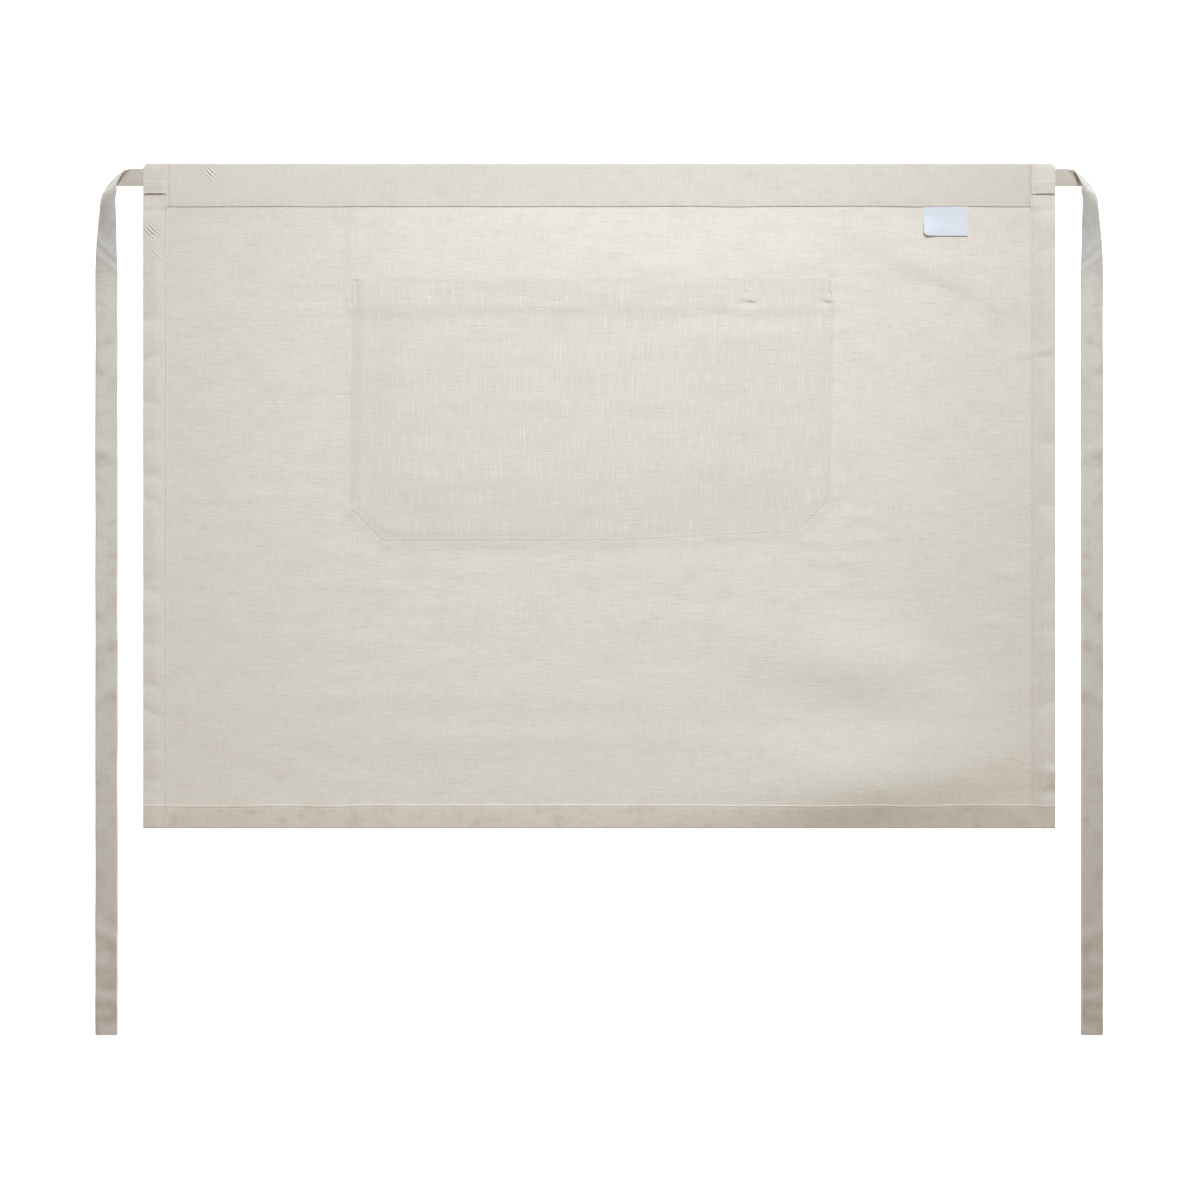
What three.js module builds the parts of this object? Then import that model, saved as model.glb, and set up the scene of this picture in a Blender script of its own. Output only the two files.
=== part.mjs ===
import * as THREE from 'three';

// A waist apron of thin linen, laid flat on a table with its inside face up and its pocket beneath.
// Sizes are in millimetres. +X is to the right, +Y towards the waistband and +Z up from the table.
// The origin is on the table, below the middle of the whole apron with its ties.

const { clamp, degToRad, lerp, smoothstep } = THREE.MathUtils;

// Cloth body
const panelWidth = 900;
const panelHeight = 656;
const clothWall = 1;
const layerGap = 0.3;
const bandDepth = 42.5;
const sideHemWidth = 24;
const bottomHemDepth = 23;

// Pocket, sewn to the outside face, so it lies under the panel
const pocketWidth = 476;
const pocketHeight = 259;
const pocketCorner = 33;
const pocketHemDepth = 25;
const pocketBelowTop = 113.5;
const pocketOffset = -6;
const pocketLean = 4.5;
const pocketBottomRise = 8;
const penSlotWidth = 86;
const pocketAir = 8;
const pocketRamp = 46;
const dividerRamp = 18;

// Ties and the square tabs that cover their sewn ends
const tieLength = 894;
const tieWidth = 22;
const tieRootWidth = 17;
const tieWall = 1.5;
const tieSewnLength = 18;
const tieBelowTop = 13.7;
const tieTurnOut = 24.5;
const tieRollRadius = 2.2;
const tieCornerRun = 12.4;
const tieCornerBend = 25;
const tieDriftLength = 60;
const tieDriftSlope = 0.15;
const tieGatheredShare = 0.52;
const tieOpeningLength = 90;
const tieBunchShare = 0.5;
const tieSettleLength = 66;
const tieDropLength = 45;
const tieWidenLength = 60;
const tieEndRound = 2;
const tabWidth = 23.5;
const tabHeight = 30;

// Care label, bare
const labelWidth = 43.5;
const labelHeight = 28.5;
const labelOffset = 342;

// How finely the sheets are cut into facets, and how a layer slopes down off another's edge
const facetStep = 34;
const leastFacet = 0.8;
const stepRamp = 3;
const seamMargin = 2;
const seamFall = 12;
const tieDropLines = 5;
const tieRollLines = 7;
const tieOpeningLines = 12;
const tieEndShares = [1, 0.6, 0.25];

const layer = clothWall + layerGap;
const halfPanel = panelWidth / 2;
const foldInset = clothWall + layerGap;
const foldLipShare = 1 / 3;

// Soft folds of the lying panel, as ridges. x, y, long and wide are shares of the panel's width or
// height: the middle's place from the panel's centre, and the ridge's half length and half width.
// turn is the crest's slope in degrees, and high the ridge's height in millimetres.
const softFolds = [
  { name: 'lower right ridge', x: 0.29, y: -0.43, turn: 3, long: 0.19, wide: 0.062, high: 6.5 },
  { name: 'ridge below the pen slot', x: 0.285, y: -0.255, turn: -10, long: 0.09, wide: 0.05, high: 3 },
  { name: 'slant below the label', x: 0.385, y: 0.365, turn: -20, long: 0.1, wide: 0.04, high: 2 },
  { name: 'low swell on the left', x: -0.3, y: -0.33, turn: 2, long: 0.2, wide: 0.05, high: 1.2 },
];
const foldEdgeFade = 24;

// Returns from, to, and every mark between them that isn't within a least facet of another line.
function linesBetween(from, to, marks) {
  const inner = [...marks].sort((a, b) => a - b);
  const lines = [from];
  for (const mark of inner) {
    if (mark > lines.at(-1) + leastFacet && mark < to - leastFacet) {
      lines.push(mark);
    }
  }
  return [...lines, to];
}

// Adds lines so that none is further than a facet step from the next.
function filled(lines) {
  const all = [lines[0]];
  for (const line of lines.slice(1)) {
    const start = all.at(-1);
    const cells = Math.ceil((line - start) / facetStep);
    for (let n = 1; n <= cells; n += 1) {
      all.push(lerp(start, line, n / cells));
    }
  }
  return all;
}

function spread(from, to, count) {
  return Array.from({ length: count }, (_, n) => lerp(from, to, n / (count - 1)));
}

// Makes a closed wall from two layers of points on one grid: side 0 is the under face, side 1 the
// upper face, and the grid's rim joins them. Faces end up outwards whichever way the grid runs.
function closedWall(columns, rows, pointAt) {
  const positions = [];
  for (const side of [0, 1]) {
    for (let j = 0; j < rows; j += 1) {
      for (let i = 0; i < columns; i += 1) {
        positions.push(...pointAt(i, j, side));
      }
    }
  }
  const at = (i, j, side) => (side * rows + j) * columns + i;
  const faces = [];
  const quad = (a, b, c, d) => faces.push(a, b, c, a, c, d);
  for (let j = 0; j < rows - 1; j += 1) {
    for (let i = 0; i < columns - 1; i += 1) {
      quad(at(i, j, 1), at(i + 1, j, 1), at(i + 1, j + 1, 1), at(i, j + 1, 1));
      quad(at(i, j, 0), at(i, j + 1, 0), at(i + 1, j + 1, 0), at(i + 1, j, 0));
    }
  }
  const lastRow = rows - 1;
  const lastColumn = columns - 1;
  for (let i = 0; i < lastColumn; i += 1) {
    quad(at(i, 0, 0), at(i + 1, 0, 0), at(i + 1, 0, 1), at(i, 0, 1));
    quad(at(i + 1, lastRow, 0), at(i, lastRow, 0), at(i, lastRow, 1), at(i + 1, lastRow, 1));
  }
  for (let j = 0; j < lastRow; j += 1) {
    quad(at(0, j + 1, 0), at(0, j, 0), at(0, j, 1), at(0, j + 1, 1));
    quad(at(lastColumn, j, 0), at(lastColumn, j + 1, 0), at(lastColumn, j + 1, 1), at(lastColumn, j, 1));
  }
  if (signedVolume(positions, faces) < 0) {
    faces.reverse();
  }
  const geometry = new THREE.BufferGeometry();
  geometry.setAttribute('position', new THREE.Float32BufferAttribute(positions, 3));
  geometry.setIndex(faces);
  geometry.computeVertexNormals();
  return geometry;
}

function signedVolume(positions, faces) {
  const corner = (index) => new THREE.Vector3().fromArray(positions, 3 * index);
  let sum = 0;
  for (let n = 0; n < faces.length; n += 3) {
    const [a, b, c] = [corner(faces[n]), corner(faces[n + 1]), corner(faces[n + 2])];
    sum += a.dot(b.cross(c)) / 6;
  }
  return sum;
}

// Names a geometry, gives it its finish and moves its own origin to where the piece is placed.
function piece(name, geometry, color, roughness, origin) {
  geometry.translate(-origin[0], -origin[1], -origin[2]);
  const material = new THREE.MeshStandardMaterial({ color, roughness, metalness: 0 });
  const mesh = new THREE.Mesh(geometry, material);
  mesh.name = name;
  mesh.position.fromArray(origin);
  return mesh;
}

// The tie's course. A point is given on the flat tie: along from its sewn end and across from its
// middle, positive on the waistband's side. Its place is given out from the panel's side, up the
// panel from the tie's middle line, and above the table.
const rootLevel = 3 * layer;
const creaseAt = tieSewnLength + tieTurnOut;
const rollLength = Math.PI * tieRollRadius;
const creaseEnd = creaseAt + rollLength * Math.SQRT2;
const rootHalf = tieRootWidth / 2;

function tieHalfWidth(along) {
  const widened = smoothstep(along, creaseAt, creaseAt + tieWidenLength);
  return lerp(tieRootWidth, tieWidth, widened) / 2;
}

// The area under a smooth step that rises from 0 to 1 while t does, and stays at 1 after.
function easedRun(t) {
  const within = clamp(t, 0, 1);
  return within ** 3 - within ** 4 / 2 + Math.max(0, t - 1);
}

// The turned tie's outer outline: out to it, at a distance down from the corner's upper end. It
// goes off at 45 degrees, bends over to a slight slant and then runs straight down.
function outlineOut(down) {
  const bent = tieCornerBend * easedRun((down - tieCornerRun) / tieCornerBend);
  const straight = tieDriftLength * easedRun((down - tieCornerRun - tieCornerBend) / tieDriftLength);
  return down - (1 - tieDriftSlope) * bent - tieDriftSlope * straight;
}

// The tie turns over round a crease at 45 degrees: the strip rolls over on itself and goes down the
// side face down. Past the crease it is bunched narrower, and it opens again as it settles.
function tieMiddle(along, across) {
  const onward = along - creaseAt;
  const past = (onward + across) / Math.SQRT2;
  const beside = (onward - across) / Math.SQRT2;
  const turned = clamp(past / tieRollRadius, 0, Math.PI);
  const run = past < 0 ? past : tieRollRadius * Math.sin(turned) - Math.max(0, past - rollLength);
  const flatOut = tieTurnOut + (beside + run) / Math.SQRT2;
  const up = (run - beside) / Math.SQRT2;
  const down = rootHalf - up;
  const cornerOut = tieTurnOut - rootHalf;
  const outerEdge = tieTurnOut + rollLength / Math.SQRT2 + tieHalfWidth(along);
  const visible = Math.min(down, outerEdge - cornerOut);
  const inward = cornerOut + visible - flatOut;
  const opened = clamp((down - tieRootWidth) / tieOpeningLength, 0, 1);
  const bunched = (1 - tieGatheredShare) * (1 - opened) ** 2;
  const keptShare = inward > 0 ? 1 - bunched : 1;
  const over = smoothstep(past, 0, rollLength);
  const inwardShare = clamp(inward / Math.max(visible, layerGap), 0, 1);
  const arch = 4 * inwardShare * (1 - inwardShare);
  const level = rootLevel * (1 - smoothstep(along, tieSewnLength, tieSewnLength + tieDropLength));
  const settling = 1 - smoothstep(down, tieRootWidth, tieSettleLength);
  const rolledUp = tieRollRadius * (1 - Math.cos(turned)) * settling;
  const bunchUp = tieBunchShare * bunched * visible * arch * over;
  return new THREE.Vector3(
    lerp(flatOut, cornerOut + outlineOut(down) - keptShare * inward, over),
    up,
    level + rolledUp + bunchUp + tieWall / 2,
  );
}

// The two faces lie half a wall either side of the middle surface, square to it.
function tiePoint(along, across, side) {
  const nudge = 0.05;
  const alongWay = tieMiddle(along + nudge, across).sub(tieMiddle(along - nudge, across));
  const acrossWay = tieMiddle(along, across + nudge).sub(tieMiddle(along, across - nudge));
  const square = alongWay.cross(acrossWay).normalize();
  return tieMiddle(along, across).addScaledVector(square, (side - 0.5) * tieWall);
}

const tieReach = tieBelowTop - tieMiddle(tieLength, 0).y;
const top = Math.max(tieReach, panelHeight) / 2;
const bottom = top - panelHeight;
const middle = top - panelHeight / 2;

// The pocket's outline. depth runs down from its mouth and across from its middle, and it leans.
const mouth = top - pocketBelowTop;
const pocketLeft = pocketOffset - pocketWidth / 2;
const pocketRight = pocketOffset + pocketWidth / 2;
const dividerAcross = pocketWidth / 2 - penSlotWidth;
const leanAt = (depth) => (-pocketLean * depth) / pocketHeight;

function bottomSeamDepth(across) {
  return pocketHeight - pocketBottomRise * smoothstep(across, 0, pocketWidth / 2 - pocketCorner);
}

function pocketDepthAt(across) {
  const cut = Math.max(0, pocketCorner - (pocketWidth / 2 - Math.abs(across)));
  return bottomSeamDepth(across) - cut;
}

// How many layers of cloth the panel clears above the table at a depth of the pocket.
function layersOfPocket(depth) {
  const hemEnd = pocketHemDepth + layerGap;
  return 1 + clamp((hemEnd + stepRamp - depth) / stepRamp, 0, 1);
}

// The air in the pocket lifts the panel inside the seams and softly above the mouth.
function airInPocket(across, depth) {
  const rise = (distance) => Math.sin((Math.PI / 2) * clamp(distance / pocketRamp, 0, 1));
  const toLeft = across + pocketWidth / 2;
  const toRight = pocketWidth / 2 - across;
  const toBottom = bottomSeamDepth(across) - depth;
  const toLeftCorner = (toLeft + toBottom - pocketCorner) / Math.SQRT2;
  const toRightCorner = (toRight + toBottom - pocketCorner) / Math.SQRT2;
  const sides = rise(toLeft) * rise(toRight) * rise(toBottom) * rise(toLeftCorner) * rise(toRightCorner);
  const aboveMouth = pocketBelowTop - bandDepth;
  return pocketAir * sides * (1 - smoothstep(-depth, 0, aboveMouth));
}

function softFoldHeight(x, y) {
  const toEdge = Math.min(halfPanel - Math.abs(x), y - bottom, top - bandDepth - y);
  const fade = smoothstep(toEdge, 0, foldEdgeFade);
  const offPocket = Math.max(x - pocketRight, pocketLeft - x, mouth - pocketHeight - y);
  const clearOfPocket = smoothstep(offPocket, 0, pocketRamp);
  const ridges = softFolds.map((fold) => {
    const turn = degToRad(fold.turn);
    const dx = x - fold.x * panelWidth;
    const dy = y - middle - fold.y * panelHeight;
    const alongCrest = (dx * Math.cos(turn) + dy * Math.sin(turn)) / (fold.long * panelWidth);
    const acrossCrest = (dy * Math.cos(turn) - dx * Math.sin(turn)) / (fold.wide * panelHeight);
    return fold.high * Math.exp(-(alongCrest ** 2) - acrossCrest ** 2);
  });
  return fade * clearOfPocket * ridges.reduce((sum, height) => sum + height, 0);
}

// Height of the panel's under face above the table.
function panelLift(x, y) {
  const depth = mouth - y;
  const outside = Math.max(
    pocketLeft - pocketLean - seamMargin - x,
    x - pocketRight - seamMargin,
    -depth - seamMargin,
    depth - pocketHeight - seamMargin,
  );
  const overPocket = layer * layersOfPocket(depth) * (1 - clamp(outside / seamFall, 0, 1));
  return overPocket + airInPocket(x - pocketOffset - leanAt(depth), depth) + softFoldHeight(x, y);
}

// The sheets share these lines, and between them every layer follows the same flat facets.
const seamMarks = [0, seamMargin, seamMargin + seamFall];
const rampMarks = [pocketRamp / 2, pocketRamp];
const foldX = filled(linesBetween(-halfPanel, halfPanel, [
  ...seamMarks.map((out) => pocketLeft - pocketLean - out),
  ...seamMarks.map((out) => pocketRight + out),
  ...rampMarks.map((within) => pocketLeft + within),
  ...rampMarks.map((within) => pocketRight - pocketLean - within),
  -halfPanel + sideHemWidth,
  halfPanel - sideHemWidth,
]));
const foldY = filled(linesBetween(bottom, top, [
  ...seamMarks.map((out) => mouth + out),
  ...seamMarks.map((out) => mouth - pocketHeight - out),
  mouth - pocketHemDepth - layerGap,
  mouth - pocketHemDepth - layerGap - stepRamp,
  ...rampMarks.map((within) => mouth - pocketHeight + pocketBottomRise + within),
  bottom + bottomHemDepth,
  top - bandDepth,
]));
const liftAt = foldY.map((y) => foldX.map((x) => panelLift(x, y)));

function cellOf(lines, value) {
  const next = lines.findIndex((line, n) => n > 0 && value <= line);
  const cell = next < 0 ? lines.length - 2 : next - 1;
  return [cell, clamp((value - lines[cell]) / (lines[cell + 1] - lines[cell]), 0, 1)];
}

function liftOf(x, y) {
  const [i, p] = cellOf(foldX, x);
  const [j, q] = cellOf(foldY, y);
  const near = liftAt[j][i];
  const far = liftAt[j + 1][i + 1];
  const side = q < p ? liftAt[j][i + 1] : liftAt[j + 1][i];
  const [first, second] = q < p ? [p, q] : [q, p];
  return near + first * (side - near) + second * (far - side);
}

function panelGeometry() {
  const columns = linesBetween(-halfPanel + foldInset, halfPanel - foldInset, foldX);
  const rows = linesBetween(bottom + foldInset, top - foldInset, foldY);
  return closedWall(columns.length, rows.length, (i, j, side) => {
    const [x, y] = [columns[i], rows[j]];
    return [x, y, liftOf(x, y) + side * clothWall];
  });
}

// A turned hem: a strip on the panel whose outer edge folds down round the edge of what it covers.
// stations run along it, placeAt gives the plan point of a station at an inset from the fold, and
// layersUnder says how many layers it lies on there. foldFirst is set where the fold has the lower
// coordinate, so that the facets split the same way as the panel's. The fold takes three rows: its
// outside goes round a quarter turn and its inside round a square corner.
function turnedHem({ stations, insets, placeAt, layersUnder, baseAt, foldFirst }) {
  const foldRows = 3;
  const count = insets.length + foldRows;
  return closedWall(stations.length, count, (i, j, side) => {
    const station = stations[i];
    const row = foldFirst ? j : count - 1 - j;
    const under = layersUnder(station) * layer;
    const height = under + clothWall;
    const angle = Math.max(0, foldRows - 1 - row) * (Math.PI / 4);
    const roll = height / 2;
    const overFold = [roll * (1 - Math.sin(angle)), height - roll * (1 - Math.cos(angle))];
    const underFold = [[clothWall * foldLipShare, 0], [clothWall, 0], [clothWall, under]][row];
    const flat = [insets[row - foldRows], side ? height : under];
    const [inset, up] = row < foldRows ? [underFold, overFold][side] : flat;
    const [x, y] = placeAt(station, inset);
    return [x, y, baseAt(x, y) + up];
  });
}

// Insets of a hem's flat rows, from just inside its fold to its sewn edge.
function hemInsets(depth, coordinateToInset, lines) {
  return linesBetween(foldInset + clothWall, depth, lines.map(coordinateToInset));
}

function waistbandGeometry() {
  return turnedHem({
    stations: linesBetween(-halfPanel + foldInset, halfPanel - foldInset, foldX),
    insets: hemInsets(bandDepth, (y) => top - y, foldY),
    placeAt: (x, inset) => [x, top - inset],
    layersUnder: () => 1,
    baseAt: liftOf,
    foldFirst: false,
  });
}

// The side hems lie over the ends of the waistband and step up onto it.
function sideHemGeometry(sign) {
  const stepEnd = top - bandDepth - layerGap;
  return turnedHem({
    stations: linesBetween(bottom + foldInset, top, [...foldY, stepEnd - stepRamp, stepEnd]),
    insets: hemInsets(sideHemWidth, (x) => halfPanel - Math.abs(x), foldX),
    placeAt: (y, inset) => [sign * (halfPanel - inset), y],
    layersUnder: (y) => 1 + clamp((y - stepEnd + stepRamp) / stepRamp, 0, 1),
    baseAt: liftOf,
    foldFirst: sign < 0,
  });
}

// The bottom hem lies over the ends of the side hems and steps up onto them.
function bottomHemGeometry() {
  const stepEnd = halfPanel - sideHemWidth - layerGap;
  const steps = [stepEnd - stepRamp, stepEnd];
  return turnedHem({
    stations: linesBetween(-halfPanel, halfPanel, [...foldX, ...steps, ...steps.map((x) => -x)]),
    insets: hemInsets(bottomHemDepth, (y) => y - bottom, foldY),
    placeAt: (x, inset) => [x, bottom + inset],
    layersUnder: (x) => 1 + clamp((Math.abs(x) - stepEnd + stepRamp) / stepRamp, 0, 1),
    baseAt: liftOf,
    foldFirst: true,
  });
}

// The pocket lies on the table and rises only to its divider seam, where it meets the panel.
function pocketLift(x, y) {
  const depth = mouth - y;
  const fromDivider = x - pocketOffset - leanAt(depth) - dividerAcross;
  const nearness = 1 - smoothstep(Math.abs(fromDivider), 0, dividerRamp);
  const room = liftOf(x, y) - layer * layersOfPocket(depth);
  return Math.max(0, room) * nearness;
}

const dividerMarks = [-1, -0.5, 0, 0.5, 1].map((share) => dividerAcross + share * dividerRamp);
const pocketColumns = filled(linesBetween(-pocketWidth / 2, pocketWidth / 2, [
  -pocketWidth / 2 + pocketCorner,
  pocketWidth / 2 - pocketCorner,
  ...dividerMarks,
]));

function pocketGeometry() {
  const shapedFrom = pocketHeight - 2 * pocketCorner;
  const rows = linesBetween(foldInset, pocketHeight, [...foldY.map((y) => mouth - y), shapedFrom]);
  return closedWall(pocketColumns.length, rows.length, (i, j, side) => {
    const across = pocketColumns[i];
    const shaping = clamp((rows[j] - shapedFrom) / (pocketHeight - shapedFrom), 0, 1);
    const depth = rows[j] + shaping * (pocketDepthAt(across) - pocketHeight);
    const x = pocketOffset + across + leanAt(depth);
    const y = mouth - depth;
    return [x, y, pocketLift(x, y) + side * clothWall];
  });
}

function pocketHemGeometry() {
  return turnedHem({
    stations: pocketColumns,
    insets: hemInsets(pocketHemDepth, (y) => mouth - y, foldY),
    placeAt: (across, inset) => [pocketOffset + across + leanAt(inset), mouth - inset],
    layersUnder: () => 1,
    baseAt: pocketLift,
    foldFirst: false,
  });
}

// The lines across a tie are slanted along the crease where it turns over.
function tieGeometry(sign) {
  const openedAt = creaseEnd + tieOpeningLength;
  const lines = linesBetween(0, tieLength, [
    ...spread(tieSewnLength, creaseAt, tieDropLines),
    ...spread(creaseAt, creaseEnd, tieRollLines),
    ...spread(creaseEnd, openedAt, tieOpeningLines),
    ...tieEndShares.map((share) => tieLength - share * tieEndRound),
  ]);
  const slantShare = (line) => smoothstep(line, 0, creaseAt) - smoothstep(line, creaseEnd, openedAt);
  const acrossShares = [-1, -0.5, 0, 0.5, 1];
  return closedWall(lines.length, acrossShares.length, (i, j, side) => {
    const pastRound = clamp(1 - (tieLength - lines[i]) / tieEndRound, 0, 1);
    const roundedOff = tieEndRound * (1 - Math.sqrt(1 - pastRound ** 2));
    const across = acrossShares[j] * (tieHalfWidth(lines[i]) - roundedOff);
    const along = lines[i] - across * slantShare(lines[i]);
    const place = tiePoint(along, across, side);
    return [sign * (halfPanel + place.x), top - tieBelowTop + place.y, place.z];
  });
}

// The tab is draped over the tie's sewn end and comes down onto the side hem around it.
function tabGeometry(sign) {
  const tieHalf = tieRootWidth / 2 + layerGap;
  const tieEnd = tieSewnLength + layerGap;
  const ridge = tieWall + layerGap;
  const insets = linesBetween(0, tabWidth, [tieEnd, tieEnd + stepRamp]);
  const belows = linesBetween(0, tabHeight, [
    tieBelowTop - tieHalf - stepRamp,
    tieBelowTop - tieHalf,
    tieBelowTop + tieHalf,
    tieBelowTop + tieHalf + stepRamp,
  ]);
  return closedWall(insets.length, belows.length, (i, j, side) => {
    const overEnd = 1 - clamp((insets[i] - tieEnd) / stepRamp, 0, 1);
    const fromTie = Math.abs(belows[j] - tieBelowTop) - tieHalf;
    const overWidth = 1 - clamp(fromTie / stepRamp, 0, 1);
    const up = rootLevel + ridge * overEnd * overWidth + side * clothWall;
    return [sign * (halfPanel - insets[i]), top - belows[j], up];
  });
}

// The label hangs from the waistband's sewn edge.
function labelGeometry() {
  const labelTop = top - bandDepth - layerGap;
  const columns = linesBetween(labelOffset - labelWidth / 2, labelOffset + labelWidth / 2, foldX);
  const rows = linesBetween(labelTop - labelHeight, labelTop, foldY);
  return closedWall(columns.length, rows.length, (i, j, side) => {
    const [x, y] = [columns[i], rows[j]];
    return [x, y, liftOf(x, y) + layer + side * clothWall];
  });
}

const linen = 0xd9d5cb;
const bandLinen = 0xdedbd2;
const hemLinen = 0xd2cdc2;
const bottomLinen = 0xc3bcb0;
const tieLinen = 0xc4bfb3;
const labelWhite = 0xdee5f0;
const clothRoughness = 0.92;
const labelRoughness = 0.6;

const body = new THREE.Group();
body.add(piece('panel', panelGeometry(), linen, clothRoughness, [0, middle, 0]));
body.add(piece('waistband', waistbandGeometry(), bandLinen, clothRoughness, [0, top, 0]));
body.add(piece('bottom_hem', bottomHemGeometry(), bottomLinen, clothRoughness, [0, bottom, 0]));
body.add(piece('care_label', labelGeometry(), labelWhite, labelRoughness, [labelOffset, top - bandDepth, 0]));

const pocket = new THREE.Group();
pocket.add(piece('pocket', pocketGeometry(), linen, clothRoughness, [pocketOffset, mouth, 0]));
pocket.add(piece('pocket_hem', pocketHemGeometry(), hemLinen, clothRoughness, [pocketOffset, mouth, 0]));

const apron = new THREE.Group();
apron.add(body, pocket);
for (const [sign, handed] of [[-1, 'left'], [1, 'right']]) {
  const sideEdge = new THREE.Group();
  const cornerAt = [sign * halfPanel, top, 0];
  const tieAt = [sign * halfPanel, top - tieBelowTop, 0];
  sideEdge.add(piece(`side_hem_${handed}`, sideHemGeometry(sign), hemLinen, clothRoughness, cornerAt));
  sideEdge.add(piece(`tie_tab_${handed}`, tabGeometry(sign), hemLinen, clothRoughness, cornerAt));
  sideEdge.add(piece(`tie_${handed}`, tieGeometry(sign), tieLinen, clothRoughness, tieAt));
  apron.add(sideEdge);
}

export default apron;
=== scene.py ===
"""The looks of a linen waist apron that lies flat with its inside up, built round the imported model."""

from math import radians
from types import SimpleNamespace

import bpy
import numpy as np
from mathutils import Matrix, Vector


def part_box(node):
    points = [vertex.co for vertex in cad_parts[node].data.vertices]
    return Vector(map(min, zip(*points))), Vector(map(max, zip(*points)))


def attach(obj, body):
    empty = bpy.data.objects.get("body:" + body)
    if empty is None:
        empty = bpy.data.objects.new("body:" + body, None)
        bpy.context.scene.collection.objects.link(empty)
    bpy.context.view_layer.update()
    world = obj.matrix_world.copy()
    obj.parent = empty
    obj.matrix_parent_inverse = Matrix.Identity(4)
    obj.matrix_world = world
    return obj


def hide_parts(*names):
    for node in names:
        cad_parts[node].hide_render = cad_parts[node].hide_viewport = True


bl_info = {
    "name": "Linen waist apron",
    "version": (1, 0, 0),
    "blender": (4, 5, 0),
    "location": "3D View > Sidebar > Apron",
    "description": "Makes the cloth, seams, ties and label of a waist apron that lies flat",
    "category": "Object",
}

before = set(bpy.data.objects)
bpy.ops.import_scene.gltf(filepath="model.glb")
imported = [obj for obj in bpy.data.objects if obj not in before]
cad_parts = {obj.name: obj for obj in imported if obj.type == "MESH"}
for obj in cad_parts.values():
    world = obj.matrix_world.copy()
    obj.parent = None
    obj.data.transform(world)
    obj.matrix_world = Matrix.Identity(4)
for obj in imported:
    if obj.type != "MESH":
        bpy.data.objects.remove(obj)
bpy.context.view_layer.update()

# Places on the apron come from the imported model. Lengths are in metres, and MM turns millimetres
# into them.
MM = 0.001
LEFT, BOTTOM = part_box("bottom_hem")[0].xy
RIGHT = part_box("bottom_hem")[1].x
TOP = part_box("side_hem_left")[1].y
HALF = (RIGHT - LEFT) / 2
BAND_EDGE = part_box("waistband")[0].y
SIDE_HEM_EDGE = -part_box("side_hem_left")[1].x
BOTTOM_HEM_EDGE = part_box("bottom_hem")[1].y
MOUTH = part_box("pocket_hem")[1].y
POCKET_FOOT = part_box("pocket")[0].y
POCKET_HEIGHT = MOUTH - POCKET_FOOT
POCKET_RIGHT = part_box("pocket_hem")[1].x
POCKET_LEAN = 4.5 * MM
POCKET_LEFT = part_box("pocket")[0].x + POCKET_LEAN
POCKET_WIDTH = POCKET_RIGHT - POCKET_LEFT
POCKET_MIDDLE = (POCKET_LEFT + POCKET_RIGHT) / 2
POCKET_HEM_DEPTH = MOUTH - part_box("pocket_hem")[0].y
POCKET_CORNER = 33 * MM
POCKET_RISE = 8 * MM
PEN_SLOT = 86 * MM
TAB_EDGE = -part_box("tie_tab_left")[1].x
TAB_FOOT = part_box("tie_tab_left")[0].y
LABEL_LOW, LABEL_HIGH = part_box("care_label")

# The sign of x on each side, and the word for it in names.
SIDES = ((-1, "left"), (1, "right"))

# Cloth that a hem turns round ends this far inside the fold.
INSIDE_FOLD = 1.3 * MM

# Soft folds of the lying panel: x from the middle, down from the waistband's upper edge, turn in
# degrees, half length, width on the side of the waistband, width on the other side, height. All
# but the turn are in millimetres.
FOLDS = [
    (268, 611, 9, 140, 59, 36, 10.5),  # lower right ridge
    (259, 498, -14, 74, 42, 34, 5),  # ridge below the pen slot
    (331, 107, -26, 105, 34, 11, 1.1),  # slant below the label
    (-9, 117, 0, 270, 50, 12, 0.2),  # swell over the mouth
    (144, 171, 2, 85, 13, 12, 0.55),  # fold in the pen slot
    (-185, 233, 90, 90, 30, 22, 0.7),  # swell at the pocket's left
    (338, 312, 90, 190, 60, 38, -2.2),  # trough beside the pocket
    (-147, 530, 1, 230, 14, 12, 0.45),  # long faint ridge
    (-98, 567, -1, 260, 12, 14, 0.4),  # lower faint ridge
    (-238, 58, 90, 62, 3, 6, 0.35),  # pressed line above the pocket
    (-335, 329, 2, 90, 4, 5, 0.3),  # line to the left hem
    (430, 186, 8, 28, 6, 4, 0.7),  # tuck at the right hem
    (287, 186, 0, 50, 8, 6, 0.4),  # crease beside the pen slot
    (-246, 344, 35, 16, 3, 3, 0.5),  # pucker at the left corner
    (-250, 336, -50, 12, 3, 3, 0.4),  # pucker across it
    (213, 332, 40, 14, 3, 3, 0.4),  # pucker at the right corner
    (147, 138, -2, 10, 2.6, 4.5, -0.75),  # crease below the divider's tack
    (223, 137.2, -6, 8, 3, 5, -0.8),  # crease below the right tack
    (447, 600, 0, 9, 5, 12, 2.4),  # tuck at the right hem's foot
    (447, 619, 8, 12, 4, 7, -1.4),  # dip below that tuck
]

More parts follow.
